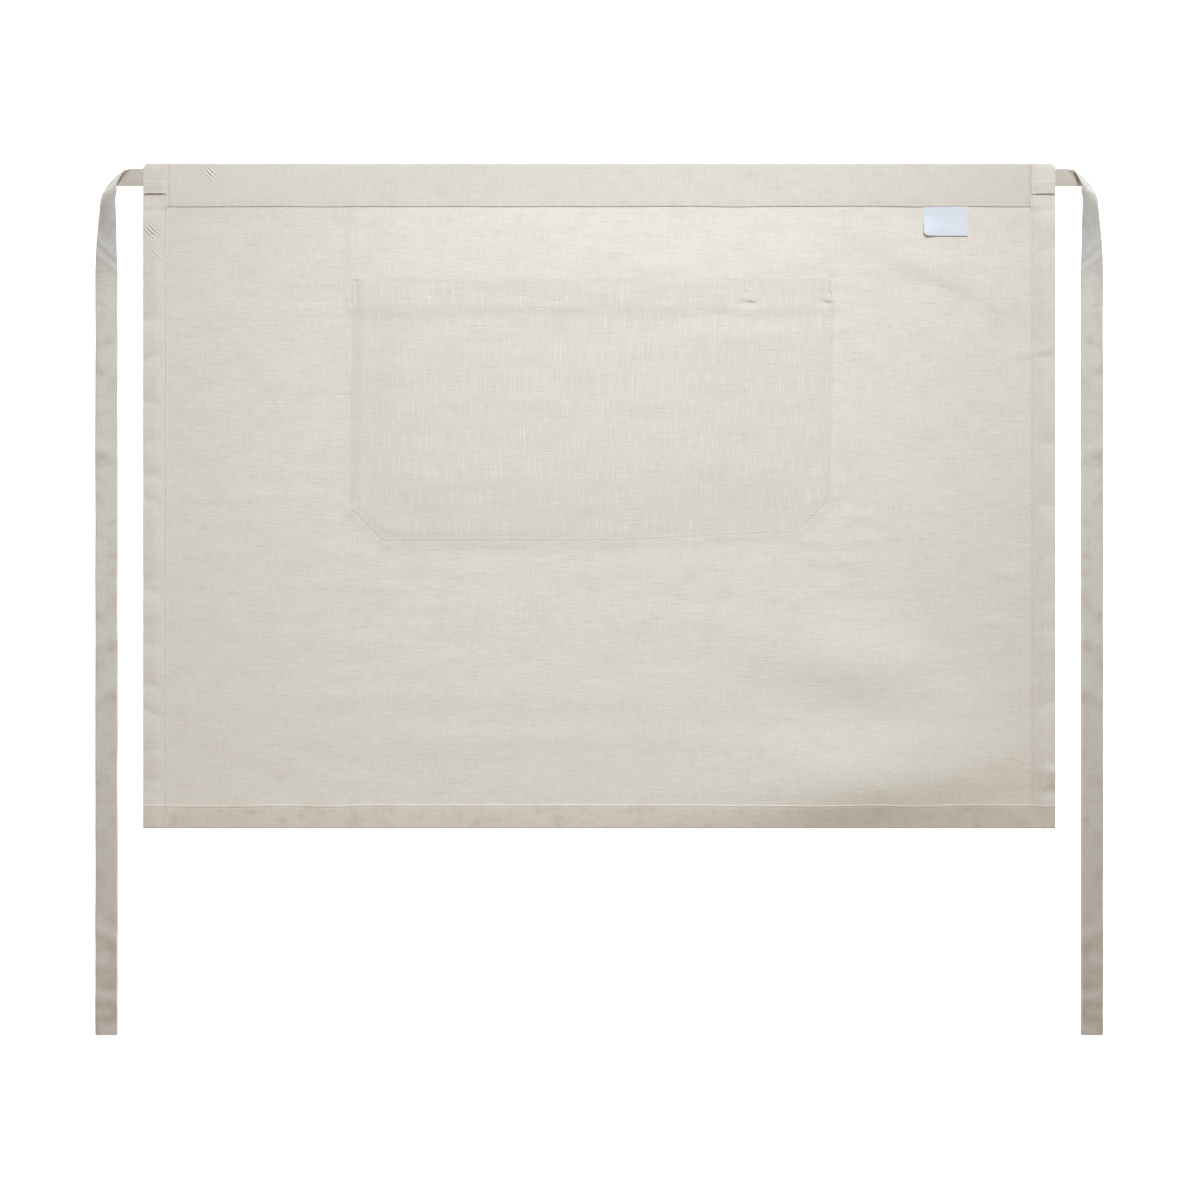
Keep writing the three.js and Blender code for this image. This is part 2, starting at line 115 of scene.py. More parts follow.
# Small wrinkles, with the same columns.
WRINKLES = [
    (211, 391, -4, 13, 4.5, 4.5, 0.56),
    (243, 391, 5, 12, 5, 5, 0.63),
    (270, 371, 3, 22, 4.5, 4.5, 0.56),
    (204, 373, 2, 14, 3.5, 3.5, 0.49),
    (228, 420, 3, 14, 3.5, 3.5, 0.49),
    (280, 423, -2, 11, 4, 4, 0.49),
    (306, 440, 4, 16, 5, 5, 0.49),
    (262, 345, 3, 24, 4, 4, 0.42),
    (385, 334, 4, 26, 3.5, 3.5, 0.35),
    (407, 405, 6, 22, 3.5, 3.5, 0.35),
    (404, 380, 2, 18, 3, 3, 0.28),
    (395, 452, 8, 22, 3.5, 3.5, 0.35),
    (-215, 418, -3, 34, 5, 5, 0.35),
    (-160, 437, 2, 18, 4, 4, 0.28),
    (-204, 360, -8, 12, 3, 3, 0.42),
]

# Ripples along the side hems: how far down from the waistband's upper edge, in millimetres.
LEFT_RIPPLES = [66, 145, 180, 233, 263, 302, 332, 401, 421, 450, 470, 514, 544, 569, 603, 623]
RIGHT_RIPPLES = [41, 85, 184, 272, 330, 391, 431, 455, 534]

# Pinched pleats: x from the middle, down from the waistband's upper edge, half length, half width
# and height of their creases, in millimetres.
PLEATS = [
    (-384, 9.5, 6.5, 5.5, 1.0),
    (-442, 66.5, 6, 4.5, 0.85),
    (-436.5, 89.5, 6.5, 1.4, 0.5),
]
PLEAT_PITCH = 3.2 * MM

# Bar tacks at the pocket's mouth: x from the middle, and their lower and upper ends as heights
# above the middle of the sheet, in millimetres.
TACKS = [(-241.8, 292.5, 313.0), (145.0, 305.0, 316.0), (229.5, 302.5, 316.0)]

# Short dark creases under the tacks: x from the middle, height above the middle of the sheet and
# half length, in millimetres.
TACK_CREASES = [(150.5, 293.6, 4.0), (226.0, 293.6, 5.0)]

# Kinks across each tie: how far along its length, height and width in millimetres, and slant.
TIE_KINKS = [
    (118, 0.8, 4, 0.9),
    (131, 0.7, 4, 0.8),
    (318, 0.7, 8, 0.3),
    (508, 0.7, 8, -0.5),
    (560, 0.8, 7, -0.4),
    (795, 1.2, 7, 0.5),
    (824, 1.1, 8, -0.2),
    (860, 1.1, 8, 0.2),
]


def length(name, description, millimetres):
    return bpy.props.FloatProperty(
        name=name,
        description=description,
        default=millimetres * MM,
        min=0.0,
        unit="LENGTH",
        subtype="DISTANCE",
        precision=4,
    )


def colour(name, description, red, green, blue):
    """A colour property from the sRGB bytes that a picture shows."""
    linear = [((byte / 255 + 0.055) / 1.055) ** 2.4 for byte in (red, green, blue)]
    return bpy.props.FloatVectorProperty(
        name=name, description=description, default=linear, size=3, min=0.0, max=1.0, subtype="COLOR"
    )


class ApronSizes(bpy.types.PropertyGroup):
    cloth: length("Cloth", "Thickness of one layer of linen", 0.6)
    hem: length("Hem", "Thickness of a turned hem", 0.75)
    tie: length("Tie", "Thickness of a tie in its middle", 1.2)
    label: length("Label", "Thickness of the label", 0.35)
    seam_inset: length("Seam inset", "From a hem's sewn edge to its stitches", 2.0)
    stitch_pitch: length("Stitch pitch", "From one stitch to the next", 2.2)
    stitch_width: length("Stitch width", "Width of a stitch's thread", 1.25)
    pocket_air: length("Pocket air", "How far the panel stands off the pocket", 1.6)
    pocket_ramp: length("Pocket ramp", "From the pocket's seams to its full height", 70)
    ripple: length("Ripple", "Height of the ripples along the side hems", 1.9)
    thread_pitch: length("Thread pitch", "From one thread of the weave to the next", 0.6)
    fold_share: bpy.props.FloatProperty(
        name="Folds", description="Share of the soft folds' height", default=1.0, min=0.0, max=2.0
    )


class ApronColours(bpy.types.PropertyGroup):
    linen: colour("Linen", "The panel's cloth", 231, 227, 220)
    band: colour("Waistband", "The turned waistband", 221, 217, 210)
    hem: colour("Hems", "The side hems and tabs", 229, 225, 219)
    bottom_hem: colour("Bottom hem", "The bottom hem", 222, 216, 208)
    pocket: colour("Pocket", "The pocket's cloth", 219, 213, 207)
    tie: colour("Ties", "The ties", 224, 222, 218)
    thread: colour("Thread", "The sewing thread", 253, 251, 244)
    label: colour("Label", "The bare label", 220, 228, 241)
    # Darker weave threads; the same colour is also painted shade on the ties and the bottom hem.
    slub_and_shade: colour("Slub", "The darker threads in the weave", 176, 162, 146)
    shade: colour("Shade", "The deep shade below a tab", 138, 112, 96)
    cool: colour("Cool shade", "The cloth where it turns away from the lamp", 172, 176, 180)
    # The seams' darker line; the same colour is also painted shade in creases, beside the tabs, round
    # the bar tacks and under the tie's turn.
    groove_and_shade: colour("Groove", "The cloth in a seam and in an edge's shade", 186, 163, 146)


# Cloth shapes


def smooth(share):
    """3 s^2 - 2 s^3, held at 0 below 0 and at 1 above 1."""
    share = np.clip(share, 0, 1)
    return share * share * (3 - 2 * share)


def ramp(value, start, end):
    return smooth((value - start) / (end - start))


def bell(distance, width):
    """1 at no distance, and falling off as exp(-(distance / width)^2)."""
    return np.exp(-((distance / width) ** 2))


def soft_noise(x, y, long, wide, seed):
    """Smooth unevenness from -1 to 1: random values on a lattice of cells long by wide, joined by
    smooth steps along both."""
    cells = 96
    values = np.random.default_rng(seed).uniform(-1, 1, (cells, cells))
    u, v = x / long + cells / 2, y / wide + cells / 2
    i, j = np.floor(u).astype(int), np.floor(v).astype(int)
    p, q = smooth(u - i), smooth(v - j)
    near, far = i % cells, (i + 1) % cells
    low, high = j % cells, (j + 1) % cells
    lower = values[near, low] * (1 - p) + values[far, low] * p
    upper = values[near, high] * (1 - p) + values[far, high] * p
    return lower * (1 - q) + upper * q


def fold_height(x, y, fold):
    """A ridge: bell along its crest times a bell across it, with a width of its own on each side."""
    middle, down, degrees, half_length, above, below, high = fold
    turn = radians(degrees)
    dx, dy = x - middle * MM, y - (TOP - down * MM)
    along = dx * np.cos(turn) + dy * np.sin(turn)
    across = dy * np.cos(turn) - dx * np.sin(turn)
    width = np.where(across > 0, above, below) * MM
    return high * MM * bell(along, half_length * MM) * bell(across, width)


def pleat_height(x, y, pleat):
    """A few parallel creases down to the right, inside a small patch."""
    middle, down, half_length, half_width, high = pleat
    dx, dy = x - middle * MM, y - (TOP - down * MM)
    along, across = (dx - dy) / np.sqrt(2), (dx + dy) / np.sqrt(2)
    patch = bell(along, half_length * MM) * bell(across, half_width * MM)
    return high * MM * patch * np.cos(2 * np.pi * across / PLEAT_PITCH)


def pocket_place(across, down):
    """The plan place that lies across from the pocket's middle and down from its mouth."""
    return POCKET_MIDDLE + across - POCKET_LEAN * down / POCKET_HEIGHT, MOUTH - down


def pocket_across(x, y):
    return x - POCKET_MIDDLE + POCKET_LEAN * (MOUTH - y) / POCKET_HEIGHT


def bottom_seam_depth(across):
    return POCKET_HEIGHT - POCKET_RISE * ramp(across, 0, POCKET_WIDTH / 2 - POCKET_CORNER)


def pocket_edges(x, y):
    """Distances in from the pocket's left, right and bottom seams and its two cut corners, and down
    from its mouth."""
    across = pocket_across(x, y)
    down = MOUTH - y
    to_left, to_right = across + POCKET_WIDTH / 2, POCKET_WIDTH / 2 - across
    to_foot = bottom_seam_depth(across) - down
    to_left_corner = (to_left + to_foot - POCKET_CORNER) / np.sqrt(2)
    to_right_corner = (to_right + to_foot - POCKET_CORNER) / np.sqrt(2)
    return [to_left, to_right, to_foot, to_left_corner, to_right_corner], down


def pocket_layers(down, sizes):
    """Thickness of the pocket's cloth under the panel: more at its hem than below it."""
    return sizes.cloth + sizes.hem * (1 - ramp(down, POCKET_HEM_DEPTH, POCKET_HEM_DEPTH + 16 * MM))


def rippling(x, y, sizes):
    """Creased troughs across the side hems at the listed places, each slanting a little."""
    waves = np.zeros_like(x + y)
    for sign, downs in ((-1, LEFT_RIPPLES), (1, RIGHT_RIPPLES)):
        rng = np.random.default_rng(40 + sign)
        outward = sign * x - SIDE_HEM_EDGE
        for down in downs:
            slant, wide, high = rng.uniform(-0.5, 0.5), rng.uniform(9, 13), rng.uniform(0.4, 1.0)
            up = y - (TOP - (down + 6) * MM + slant * outward)
            fall = np.exp(-np.hypot(up, 1.5 * MM) / (np.where(up > 0, wide, 9) * MM))
            waves -= high * fall * (outward > 0)
        inner = ramp(outward, 2 * MM, 14 * MM) * ramp(TOP - y, 34 * MM, 60 * MM)
        waves = np.where(outward > 0, (waves + 1.2) * inner, waves)
    return sizes.ripple * waves


def lying_height(x, y, sizes):
    """Height of the panel's under face: the pocket's layers and air, the soft folds and ripples,
    and a fine unevenness."""
    seam_slope, mouth_slope = 9 * MM, 112 * MM
    tack_pull, tack_reach = 0.5 * MM, 4.5 * MM
    edges, down = pocket_edges(x, y)
    inside = np.minimum.reduce(edges)
    risen = ramp(inside, -seam_slope, -1 * MM) * ramp(down, -mouth_slope, -1 * MM)
    under = pocket_layers(down, sizes) * risen
    air = np.ones_like(x + y)
    for edge in edges:
        air = air * ramp(edge, 0, sizes.pocket_ramp)
    air = sizes.pocket_air * air * (1 - ramp(-down, 0, TOP - MOUTH))
    folds = sum(fold_height(x, y, fold) for fold in FOLDS + WRINKLES) * sizes.fold_share
    for tack_x, low, high in TACKS:
        past_end = np.maximum(abs(y - (low + high) / 2 * MM) - (high - low) / 2 * MM, 0)
        off = np.hypot(x - tack_x * MM, past_end)
        folds = folds - tack_pull * bell(off, tack_reach)
    pleats = sum(pleat_height(x, y, pleat) for pleat in PLEATS)
    open_cloth = np.minimum.reduce([SIDE_HEM_EDGE - abs(x), BAND_EDGE - y, y - BOTTOM_HEM_EDGE])
    free = 0.25 + 0.75 * ramp(open_cloth, -6 * MM, 14 * MM)
    fine = 0.10 * soft_noise(x, y, 24 * MM, 6 * MM, 3) + 0.14 * soft_noise(x, y, 60 * MM, 15 * MM, 4)
    broad = 0.4 * soft_noise(x, y, 150 * MM, 80 * MM, 5)
    uneven = MM * (0.3 + (fine + broad) * free)
    return np.maximum(under + air + folds + rippling(x, y, sizes) + uneven, 0) + pleats * 0.8 + 0.1 * MM


def band_cover(y):
    """1 on the waistband, and falling to 0 just below its sewn edge."""
    return ramp(y, BAND_EDGE - 2.5 * MM, BAND_EDGE - 0.3 * MM)


def side_cover(x):
    """1 on the side hems, and falling to 0 just inside their sewn edges."""
    return ramp(abs(x), SIDE_HEM_EDGE - 2.5 * MM, SIDE_HEM_EDGE - 0.3 * MM)


def cut_corners(x, y):
    """Moves what is nearer than the cut to an upper corner in along the diagonal."""
    cut = 3.6 * MM
    short = np.maximum(0, cut - (HALF - abs(x)) - (TOP - y)) / 2
    return x - np.sign(x) * short, y - short


# Meshes


def write_mesh(name, points, faces, plan=None):
    """Makes an object from arrays of points and four-sided faces. plan gives each point's place on
    the flat cloth, which its material reads."""
    mesh = bpy.data.meshes.new(name)
    mesh.vertices.add(len(points))
    mesh.vertices.foreach_set("co", np.asarray(points, np.float32).ravel())
    mesh.loops.add(faces.size)
    mesh.loops.foreach_set("vertex_index", faces.astype(np.int32).ravel())
    mesh.polygons.add(len(faces))
    mesh.polygons.foreach_set("loop_start", np.arange(0, faces.size, 4, dtype=np.int32))
    mesh.polygons.foreach_set("use_smooth", np.ones(len(faces), bool))
    if plan is not None:
        layer = mesh.uv_layers.new(name="cloth")
        layer.data.foreach_set("uv", np.asarray(plan, np.float32)[faces.ravel()].ravel())
    mesh.update(calc_edges=True)
    mesh.validate()
    mesh.set_sharp_from_angle(angle=radians(50))
    made = bpy.data.objects.new(name, mesh)
    bpy.context.scene.collection.objects.link(made)
    return made


def unit(vectors):
    return vectors / np.maximum(np.linalg.norm(vectors, axis=-1, keepdims=True), 1e-12)


def wall(name, middle, thick, plan=None):
    """A closed wall round a middle surface on a grid: its two faces lie half the thickness either
    side, along the surface's normal, and a strip closes its rim. Its plan is the surface's own
    unless another is given."""
    plan = middle[..., :2] if plan is None else plan
    rows, columns = middle.shape[:2]
    normal = unit(np.cross(np.gradient(middle, axis=1), np.gradient(middle, axis=0)))
    half = (np.broadcast_to(thick, (rows, columns)) / 2)[..., None]
    points = np.stack([middle - normal * half, middle + normal * half]).reshape(-1, 3)
    index = np.arange(2 * rows * columns).reshape(2, rows, columns)
    under, over = index

    def quads(a, b, c, d):
        return np.stack([a, b, c, d], axis=-1).reshape(-1, 4)

    faces = np.concatenate([
        quads(over[:-1, :-1], over[:-1, 1:], over[1:, 1:], over[1:, :-1]),
        quads(under[:-1, :-1], under[1:, :-1], under[1:, 1:], under[:-1, 1:]),
        quads(under[0, :-1], under[0, 1:], over[0, 1:], over[0, :-1]),
        quads(under[-1, 1:], under[-1, :-1], over[-1, :-1], over[-1, 1:]),
        quads(under[1:, 0], under[:-1, 0], over[:-1, 0], over[1:, 0]),
        quads(under[:-1, -1], under[1:, -1], over[1:, -1], over[:-1, -1]),
    ])
    flat = np.stack([plan, plan]).reshape(-1, 2)
    return write_mesh(name, points, faces, flat)


def steps(start, end, step):
    return np.linspace(start, end, max(2, int(round(abs(end - start) / step)) + 1))


def finer(stations, places, reach, step):
    """The stations, with closer ones added round some places."""
    added = [np.arange(place - reach, place + reach, step) for place in places]
    together = np.unique(np.concatenate([stations, *added]))
    kept = together[(together >= stations[0]) & (together <= stations[-1])]
    return kept[np.concatenate([[True], np.diff(kept) > 0.2 * MM])]


def joined(x, y, z):
    return np.stack(np.broadcast_arrays(x, y, z), axis=-1)


def dress(made, material, nodes=()):
    """Gives a finished piece its material and body, and hides the imported parts that it stands for."""
    made.data.materials.append(material)
    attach(made, "root")
    if nodes:
        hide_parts(*nodes)


# Shader recipes


class Wire:
    """A number that a node gives. Arithmetic on it adds Math nodes."""

    def __init__(self, recipe, socket):
        self.recipe = recipe
        self.socket = socket

    def math(self, operation, *values):
        inputs = dict(enumerate(values))
        return self.recipe.node("ShaderNodeMath", {"operation": operation}, inputs)

    def __add__(self, other):
        return self.math("ADD", self, other)

    __radd__ = __add__

    def __sub__(self, other):
        return self.math("SUBTRACT", self, other)

    def __rsub__(self, other):
        return self.math("SUBTRACT", other, self)

    def __mul__(self, other):
        return self.math("MULTIPLY", self, other)

    __rmul__ = __mul__

    def sine(self):
        return self.math("SINE", self)

    def size(self):
        return self.math("ABSOLUTE", self)

    def least(self, other):
        return self.math("MINIMUM", self, other)

    def most(self, other):
        return self.math("MAXIMUM", self, other)

    def held(self):
        """The number held between 0 and 1."""
        return self.recipe.node("ShaderNodeClamp", {}, {"Value": self})

    def between(self, low, high):
        """0 below low, 1 above high, and a smooth step between them."""
        settings = {"interpolation_type": "SMOOTHSTEP"}
        inputs = {"Value": self, "From Min": low, "From Max": high}
        return self.recipe.node("ShaderNodeMapRange", settings, inputs)


class Recipe:
    """A material and its nodes."""

    def __init__(self, name):
        self.material = bpy.data.materials.new(name)
        self.material.use_nodes = True
        self.tree = self.material.node_tree
        self.tree.nodes.clear()

    def node(self, kind, settings=None, inputs=None, output=0):
        """Adds a node and gives one of its outputs, by name or number, if it has any."""
        made = self.tree.nodes.new(kind)
        for name, value in (settings or {}).items():
            setattr(made, name, value)
        for name, value in (inputs or {}).items():
            if isinstance(value, Wire):
                self.tree.links.new(value.socket, made.inputs[name])
            else:
                made.inputs[name].default_value = value
        return Wire(self, made.outputs[output]) if made.outputs else None

    def plan(self):
        """The place on the flat cloth, in millimetres."""
        place = self.node("ShaderNodeUVMap", {"uv_map": "cloth"})
        parts = [self.node("ShaderNodeSeparateXYZ", {}, {"Vector": place}, axis) for axis in "XY"]
        return [part * (1 / MM) for part in parts]

    def noise(self, u, v, detail=2.0, distortion=0.0):
        """Noise from 0 to 1 whose grains are 1 across on the two numbers."""
        place = self.node("ShaderNodeCombineXYZ", {}, {"X": u, "Y": v})
        inputs = {"Vector": place, "Scale": 1.0, "Detail": detail, "Distortion": distortion}
        return self.node("ShaderNodeTexNoise", {"noise_dimensions": "2D"}, inputs)

    def blend(self, first, second, share):
        """The first colour turning into the second. A Mix node's colours are its inputs 6 and 7
        and its output 2, and its factor is its input 0."""
        settings = {"data_type": "RGBA"}
        return self.node("ShaderNodeMix", settings, {0: share, 6: first, 7: second}, 2)

    def finish(self, settings, bump, distance):
        """Closes the recipe with a plain shader and a bump of the given depth."""
        inputs = {"Strength": 1.0, "Distance": distance, "Height": bump}
        normal = self.node("ShaderNodeBump", {}, inputs)
        shader = self.node("ShaderNodeBsdfPrincipled", {}, {**settings, "Normal": normal})
        self.node("ShaderNodeOutputMaterial", {}, {"Surface": shader})
        return self.material


def rgba(values):
    return (*values, 1.0)


def linen(name, base, colours, sizes, run=0, behind=False, marks=None):
    """Plain linen weave. run 0 has its plain slubs along the cloth's first direction and 1 along its
    second. behind adds the pocket's cloth, which shows through from below. marks gives shares and
    colours that lie over the weave, such as a seam's darker line, painted shade and painted highlights."""
    recipe = Recipe(name)
    u, v = recipe.plan()
    along, across = (u, v) if run == 0 else (v, u)
    slubs = recipe.noise(along * 0.06, across * 0.5, 4.0)
    cross_slubs = recipe.noise(along * 0.5, across * 0.06, 4.0)
    crumple = recipe.noise(along * 0.06, across * 0.2, 4.0, 0.6)
    cloud = recipe.noise(u * 0.02, v * 0.02, 2.0)
    crease = ((recipe.noise(along * 0.045 + 7, across * 0.3, 2.0) - 0.64) * 4).held()
    blush = recipe.noise(u * 0.03 + 40, v * 0.045, 3.0)
    grain = recipe.noise(u * 0.8, v * 0.8, 3.0)
    turn = np.pi / (sizes.thread_pitch / MM)
    weave = (u * turn).sine() * (v * turn).sine()
    plain, crossing = 0.32, 0.3
    # The crease noise also darkens the colour: painted shade in the creases, beside their bump. blush is
    # the cloth's own uneven tone.
    shares = [(((blush - 0.5) * 0.28 + crease * 0.15).held(), colours.groove_and_shade)]
    if behind:
        inside, seams, turned = pocket_behind(u, v, sizes)
        through = recipe.noise(u * 0.6, v * 0.035, 4.0)
        plain = 0.32 - inside * 0.14
        shares.append((inside * ((through - 0.5) * 1.2 + 0.42).held(), colours.pocket))
        shares.append((inside * ((0.43 - through) * 1.1).held(), colours.thread))
        shares.append((turned * 0.1, colours.slub_and_shade))
        shares.append((seams * 0.16, colours.groove_and_shade))
        shares.append((tack_shade(u, v).held() * 0.6, colours.groove_and_shade))
    dark = (slubs - 0.5) * plain + (cross_slubs - 0.5) * crossing + (grain - 0.5) * 0.42
    dark = dark + (cloud - 0.5) * 0.1 + weave * 0.04 + 0.05
    tone = recipe.blend(rgba(base), rgba(colours.slub_and_shade), dark.held())
    if marks:
        shares += marks(recipe, u, v)
    for share, over in shares:
        tone = recipe.blend(tone, rgba(over), share)
    bump = weave * 0.2 + slubs * 0.35 + cross_slubs * 0.35 + crumple * 0.75 - crease * 0.6
    rough = 0.86 + (grain - 0.5) * 0.16
    settings = {
        "Base Color": tone,
        "Roughness": rough,
        "Specular IOR Level": 0.25,
        "Sheen Weight": 0.12,
        "Sheen Roughness": 0.5,
    }
    return recipe.finish(settings, bump, 0.22 * MM)


def tack_shade(u, v):
    """1 in the creases below the bar tacks, and less in the shade on the tacks' left."""
    shade = 0
    for x, low, high in TACKS:
        beside = 1 - (u - (x - 1.8)).size().between(0.6, 2.0)
        within = (v - (low - 1.5)).between(0, 2) * (high + 1 - v).between(0, 2)
        shade = shade + beside * within * 0.35
    for x, height, half in TACK_CREASES:
        drawn = height - (u - x) * 0.12
        shade = shade + line_at(v - drawn, 1.3) * (1 - (u - x).size().between(half * 0.5, half))
    return shade


def line_at(distance, wide=0.8):
    """1 on a line and 0 from wide millimetres off it, from the distance to the line."""
    return 1 - distance.size().between(0.3 * wide, wide)


def pocket_behind(u, v, sizes):
    """1 where the pocket lies behind, from the distances to its five edges and its mouth, 1 on the
    seams that hold it and divide it, and 1 over the cloth turned in along its edges."""
    across = u - POCKET_MIDDLE / MM + (MOUTH / MM - v) * (POCKET_LEAN / POCKET_HEIGHT)
    half = POCKET_WIDTH / 2 / MM
    side = half - across.size()
    rise = across.between(0, half - POCKET_CORNER / MM) * (POCKET_RISE / MM)
    foot = v - rise - POCKET_FOOT / MM
    corner = (side + foot - POCKET_CORNER / MM) * 0.7
    mouth = MOUTH / MM - v
    edge = side.least(foot).least(corner)
    inside = edge.least(mouth).between(-1.0, 1.5)
    divider = across - (half - PEN_SLOT / MM)
    outline = line_at(edge - sizes.seam_inset / MM, 1.0)
    seams = outline.most(line_at(divider, 0.9)) * inside
    turned = inside * (1 - edge.between(7, 14)) * (1 - across.between(-120, 100) * 0.7)
    return inside, seams, turned


def thread_material(colours):
    recipe = Recipe("sewing_thread")
    place = recipe.node("ShaderNodeTexCoord", output="Object")
    grain = recipe.node("ShaderNodeTexNoise", {}, {"Vector": place, "Scale": 900.0, "Detail": 2.0})
    tone = recipe.blend(rgba(colours.thread), rgba(colours.slub_and_shade), grain * 0.35)
    return recipe.finish({"Base Color": tone, "Roughness": 0.7}, grain, 0.1 * MM)


# The satin's darker streaks, as linear values.
LABEL_SHADE = (0.62, 0.66, 0.74)


def label_material(colours):
    """Smooth satin tape with fine ribs across it."""
    recipe = Recipe("label_satin")
    u, v = recipe.plan()
    ribs = (v * (2 * np.pi / 0.45)).sine()
    grain = recipe.noise(u * 0.5, v * 1.8, 3.0)
    edge = recipe.noise(u * 0.08, v * 0.08, 2.0)
    shaded = (grain * 0.3 + edge * 0.25) * 0.6
    tone = recipe.blend(rgba(colours.label), rgba(LABEL_SHADE), shaded)
    settings = {"Base Color": tone, "Roughness": 0.5 + grain * 0.15, "Specular IOR Level": 0.4}
    return recipe.finish(settings, ribs * 0.4 + grain, 0.05 * MM)


# Pieces


def make_panel(sizes, colours):
    """The panel is a wall over the plan grid, lifted by lying_height."""
    columns = steps(LEFT + INSIDE_FOLD, RIGHT - INSIDE_FOLD, 4.4 * MM)
    columns = finer(columns, [tack[0] * MM for tack in TACKS], 6 * MM, 1.4 * MM)
    rows = steps(BOTTOM + INSIDE_FOLD, TOP - INSIDE_FOLD, 3.9 * MM)
    rows = finer(rows, [MOUTH - 14 * MM], 19 * MM, 1.5 * MM)
    x, y = np.meshgrid(columns, rows)
    middle = joined(x, y, lying_height(x, y, sizes) + sizes.cloth / 2)
    made = wall("panel_cloth", middle, sizes.cloth)
    material = linen("linen_over_pocket", colours.linen, colours, sizes, behind=True)
    dress(made, material, ["panel"])


def hem_piece(name, stations, depth, under, sizes, place, lift=lying_height, taper=0.5 * MM):
    """A turned hem. Across it the section thickens over the taper from the sewn edge, runs flat and
    then half round the fold, down to the under face of what it turns over. under is the thickness
    of that, and place gives the plan place of a station and a distance in from the fold."""
    thick = sizes.hem
    depth, height = [np.broadcast_to(v, stations.shape)[:, None] for v in (depth, under + thick)]
    roll = height / 2
    bend = np.linspace(np.pi / 2, -np.pi / 2, 9)[1:]
    share = np.concatenate([[0, 0.012, 0.03], np.linspace(0.06, 1, 38)])
    flat_inset = roll + (depth - roll) * (1 - share)
    puff = 0.18 * MM * np.sin(np.pi * share) ** 0.7
    dip = 0.22 * MM * bell(flat_inset - depth + sizes.seam_inset, 0.9 * MM)
    flat_rise = height - thick / 2 + puff - dip
    inset = np.concatenate([flat_inset, roll - (roll - thick / 2) * np.cos(bend)], axis=1)
    rise = np.concatenate([flat_rise, roll + (roll - thick / 2) * np.sin(bend)], axis=1)
    x, y = cut_corners(*place(stations[:, None], inset))
    edge = np.clip((depth - inset) / taper, 0, 1)
    rounded = thick * (0.2 + 0.8 * np.sqrt(1 - (1 - edge) ** 2))
    lowered = (thick - rounded) / 2 * (taper > 1 * MM)
    return wall(name, joined(x, y, lift(x, y, sizes) + rise - lowered), rounded)


def wavering(stations, seed):
    """A sewn edge's own unevenness, under half a millimetre."""
    return 0.4 * MM * soft_noise(stations, stations * 0, 45 * MM, 1, seed)


def make_waistband(sizes, colours):
    """The waistband lies on the panel."""

    def marks(recipe, u, v):
        sewn = line_at(v - (BAND_EDGE + sizes.seam_inset) / MM)
        # Painted shade along the band's top fold, in the cool shade colour.
        top = line_at(TOP / MM - v, 1.2)
        # Painted shade on the band beside each tab's inner edge.
        beside_tab = line_at(u.size() - TAB_EDGE / MM + 1.5, 1.8)
        # Painted light on the band's left part, which the lamp on the right leaves darker.
        painted_light_left = 1 - u.between(-430, -120)
        return [
            (painted_light_left * 0.2, colours.thread),
            (sewn * 0.2, colours.groove_and_shade),
            (top * 0.4, colours.cool),
            (beside_tab * 0.22, colours.groove_and_shade),
        ]

    across = steps(LEFT + INSIDE_FOLD, RIGHT - INSIDE_FOLD, 3 * MM)
    across = finer(across, [pleat[0] * MM for pleat in PLEATS], 15 * MM, 0.8 * MM)
    depth = TOP - BAND_EDGE + wavering(across, 11)
    made = hem_piece(
        "waistband_cloth", across, depth, sizes.cloth, sizes, lambda s, inset: (s, TOP - inset)
    )
    material = linen("linen_waistband", colours.band, colours, sizes, run=1, marks=marks)
    dress(made, material, ["waistband"])


def make_side_hems(sizes, colours):
    """The side hems lie on the panel and, at their tops, on the waistband's ends."""

    def marks(recipe, u, v):
        sewn = line_at(u.size() - (SIDE_HEM_EDGE + sizes.seam_inset) / MM)
        # outer is painted shade along the hems' outer folds, in the cool shade colour.
        outer = line_at(u.size() - HALF / MM, 1.2)
        return [(sewn * 0.33, colours.groove_and_shade), (outer * 0.3, colours.cool)]

    material = linen("linen_side_hem", colours.hem, colours, sizes, run=1, marks=marks)
    rises = steps(BOTTOM + INSIDE_FOLD, TOP, 2.2 * MM)
    rises = finer(rises, [TOP - pleat[1] * MM for pleat in PLEATS], 15 * MM, 0.8 * MM)
    under = sizes.cloth + sizes.hem * band_cover(rises)
    for sign, side in SIDES:
        made = hem_piece(
            f"side_hem_{side}_cloth",
            rises,
            HALF - SIDE_HEM_EDGE + wavering(rises, 12 + sign),
            under,
            sizes,
            lambda s, inset, sign=sign: (sign * (HALF - inset), s + 0 * inset),
            taper=6 * MM,
        )
        dress(made, material, [f"side_hem_{side}"])


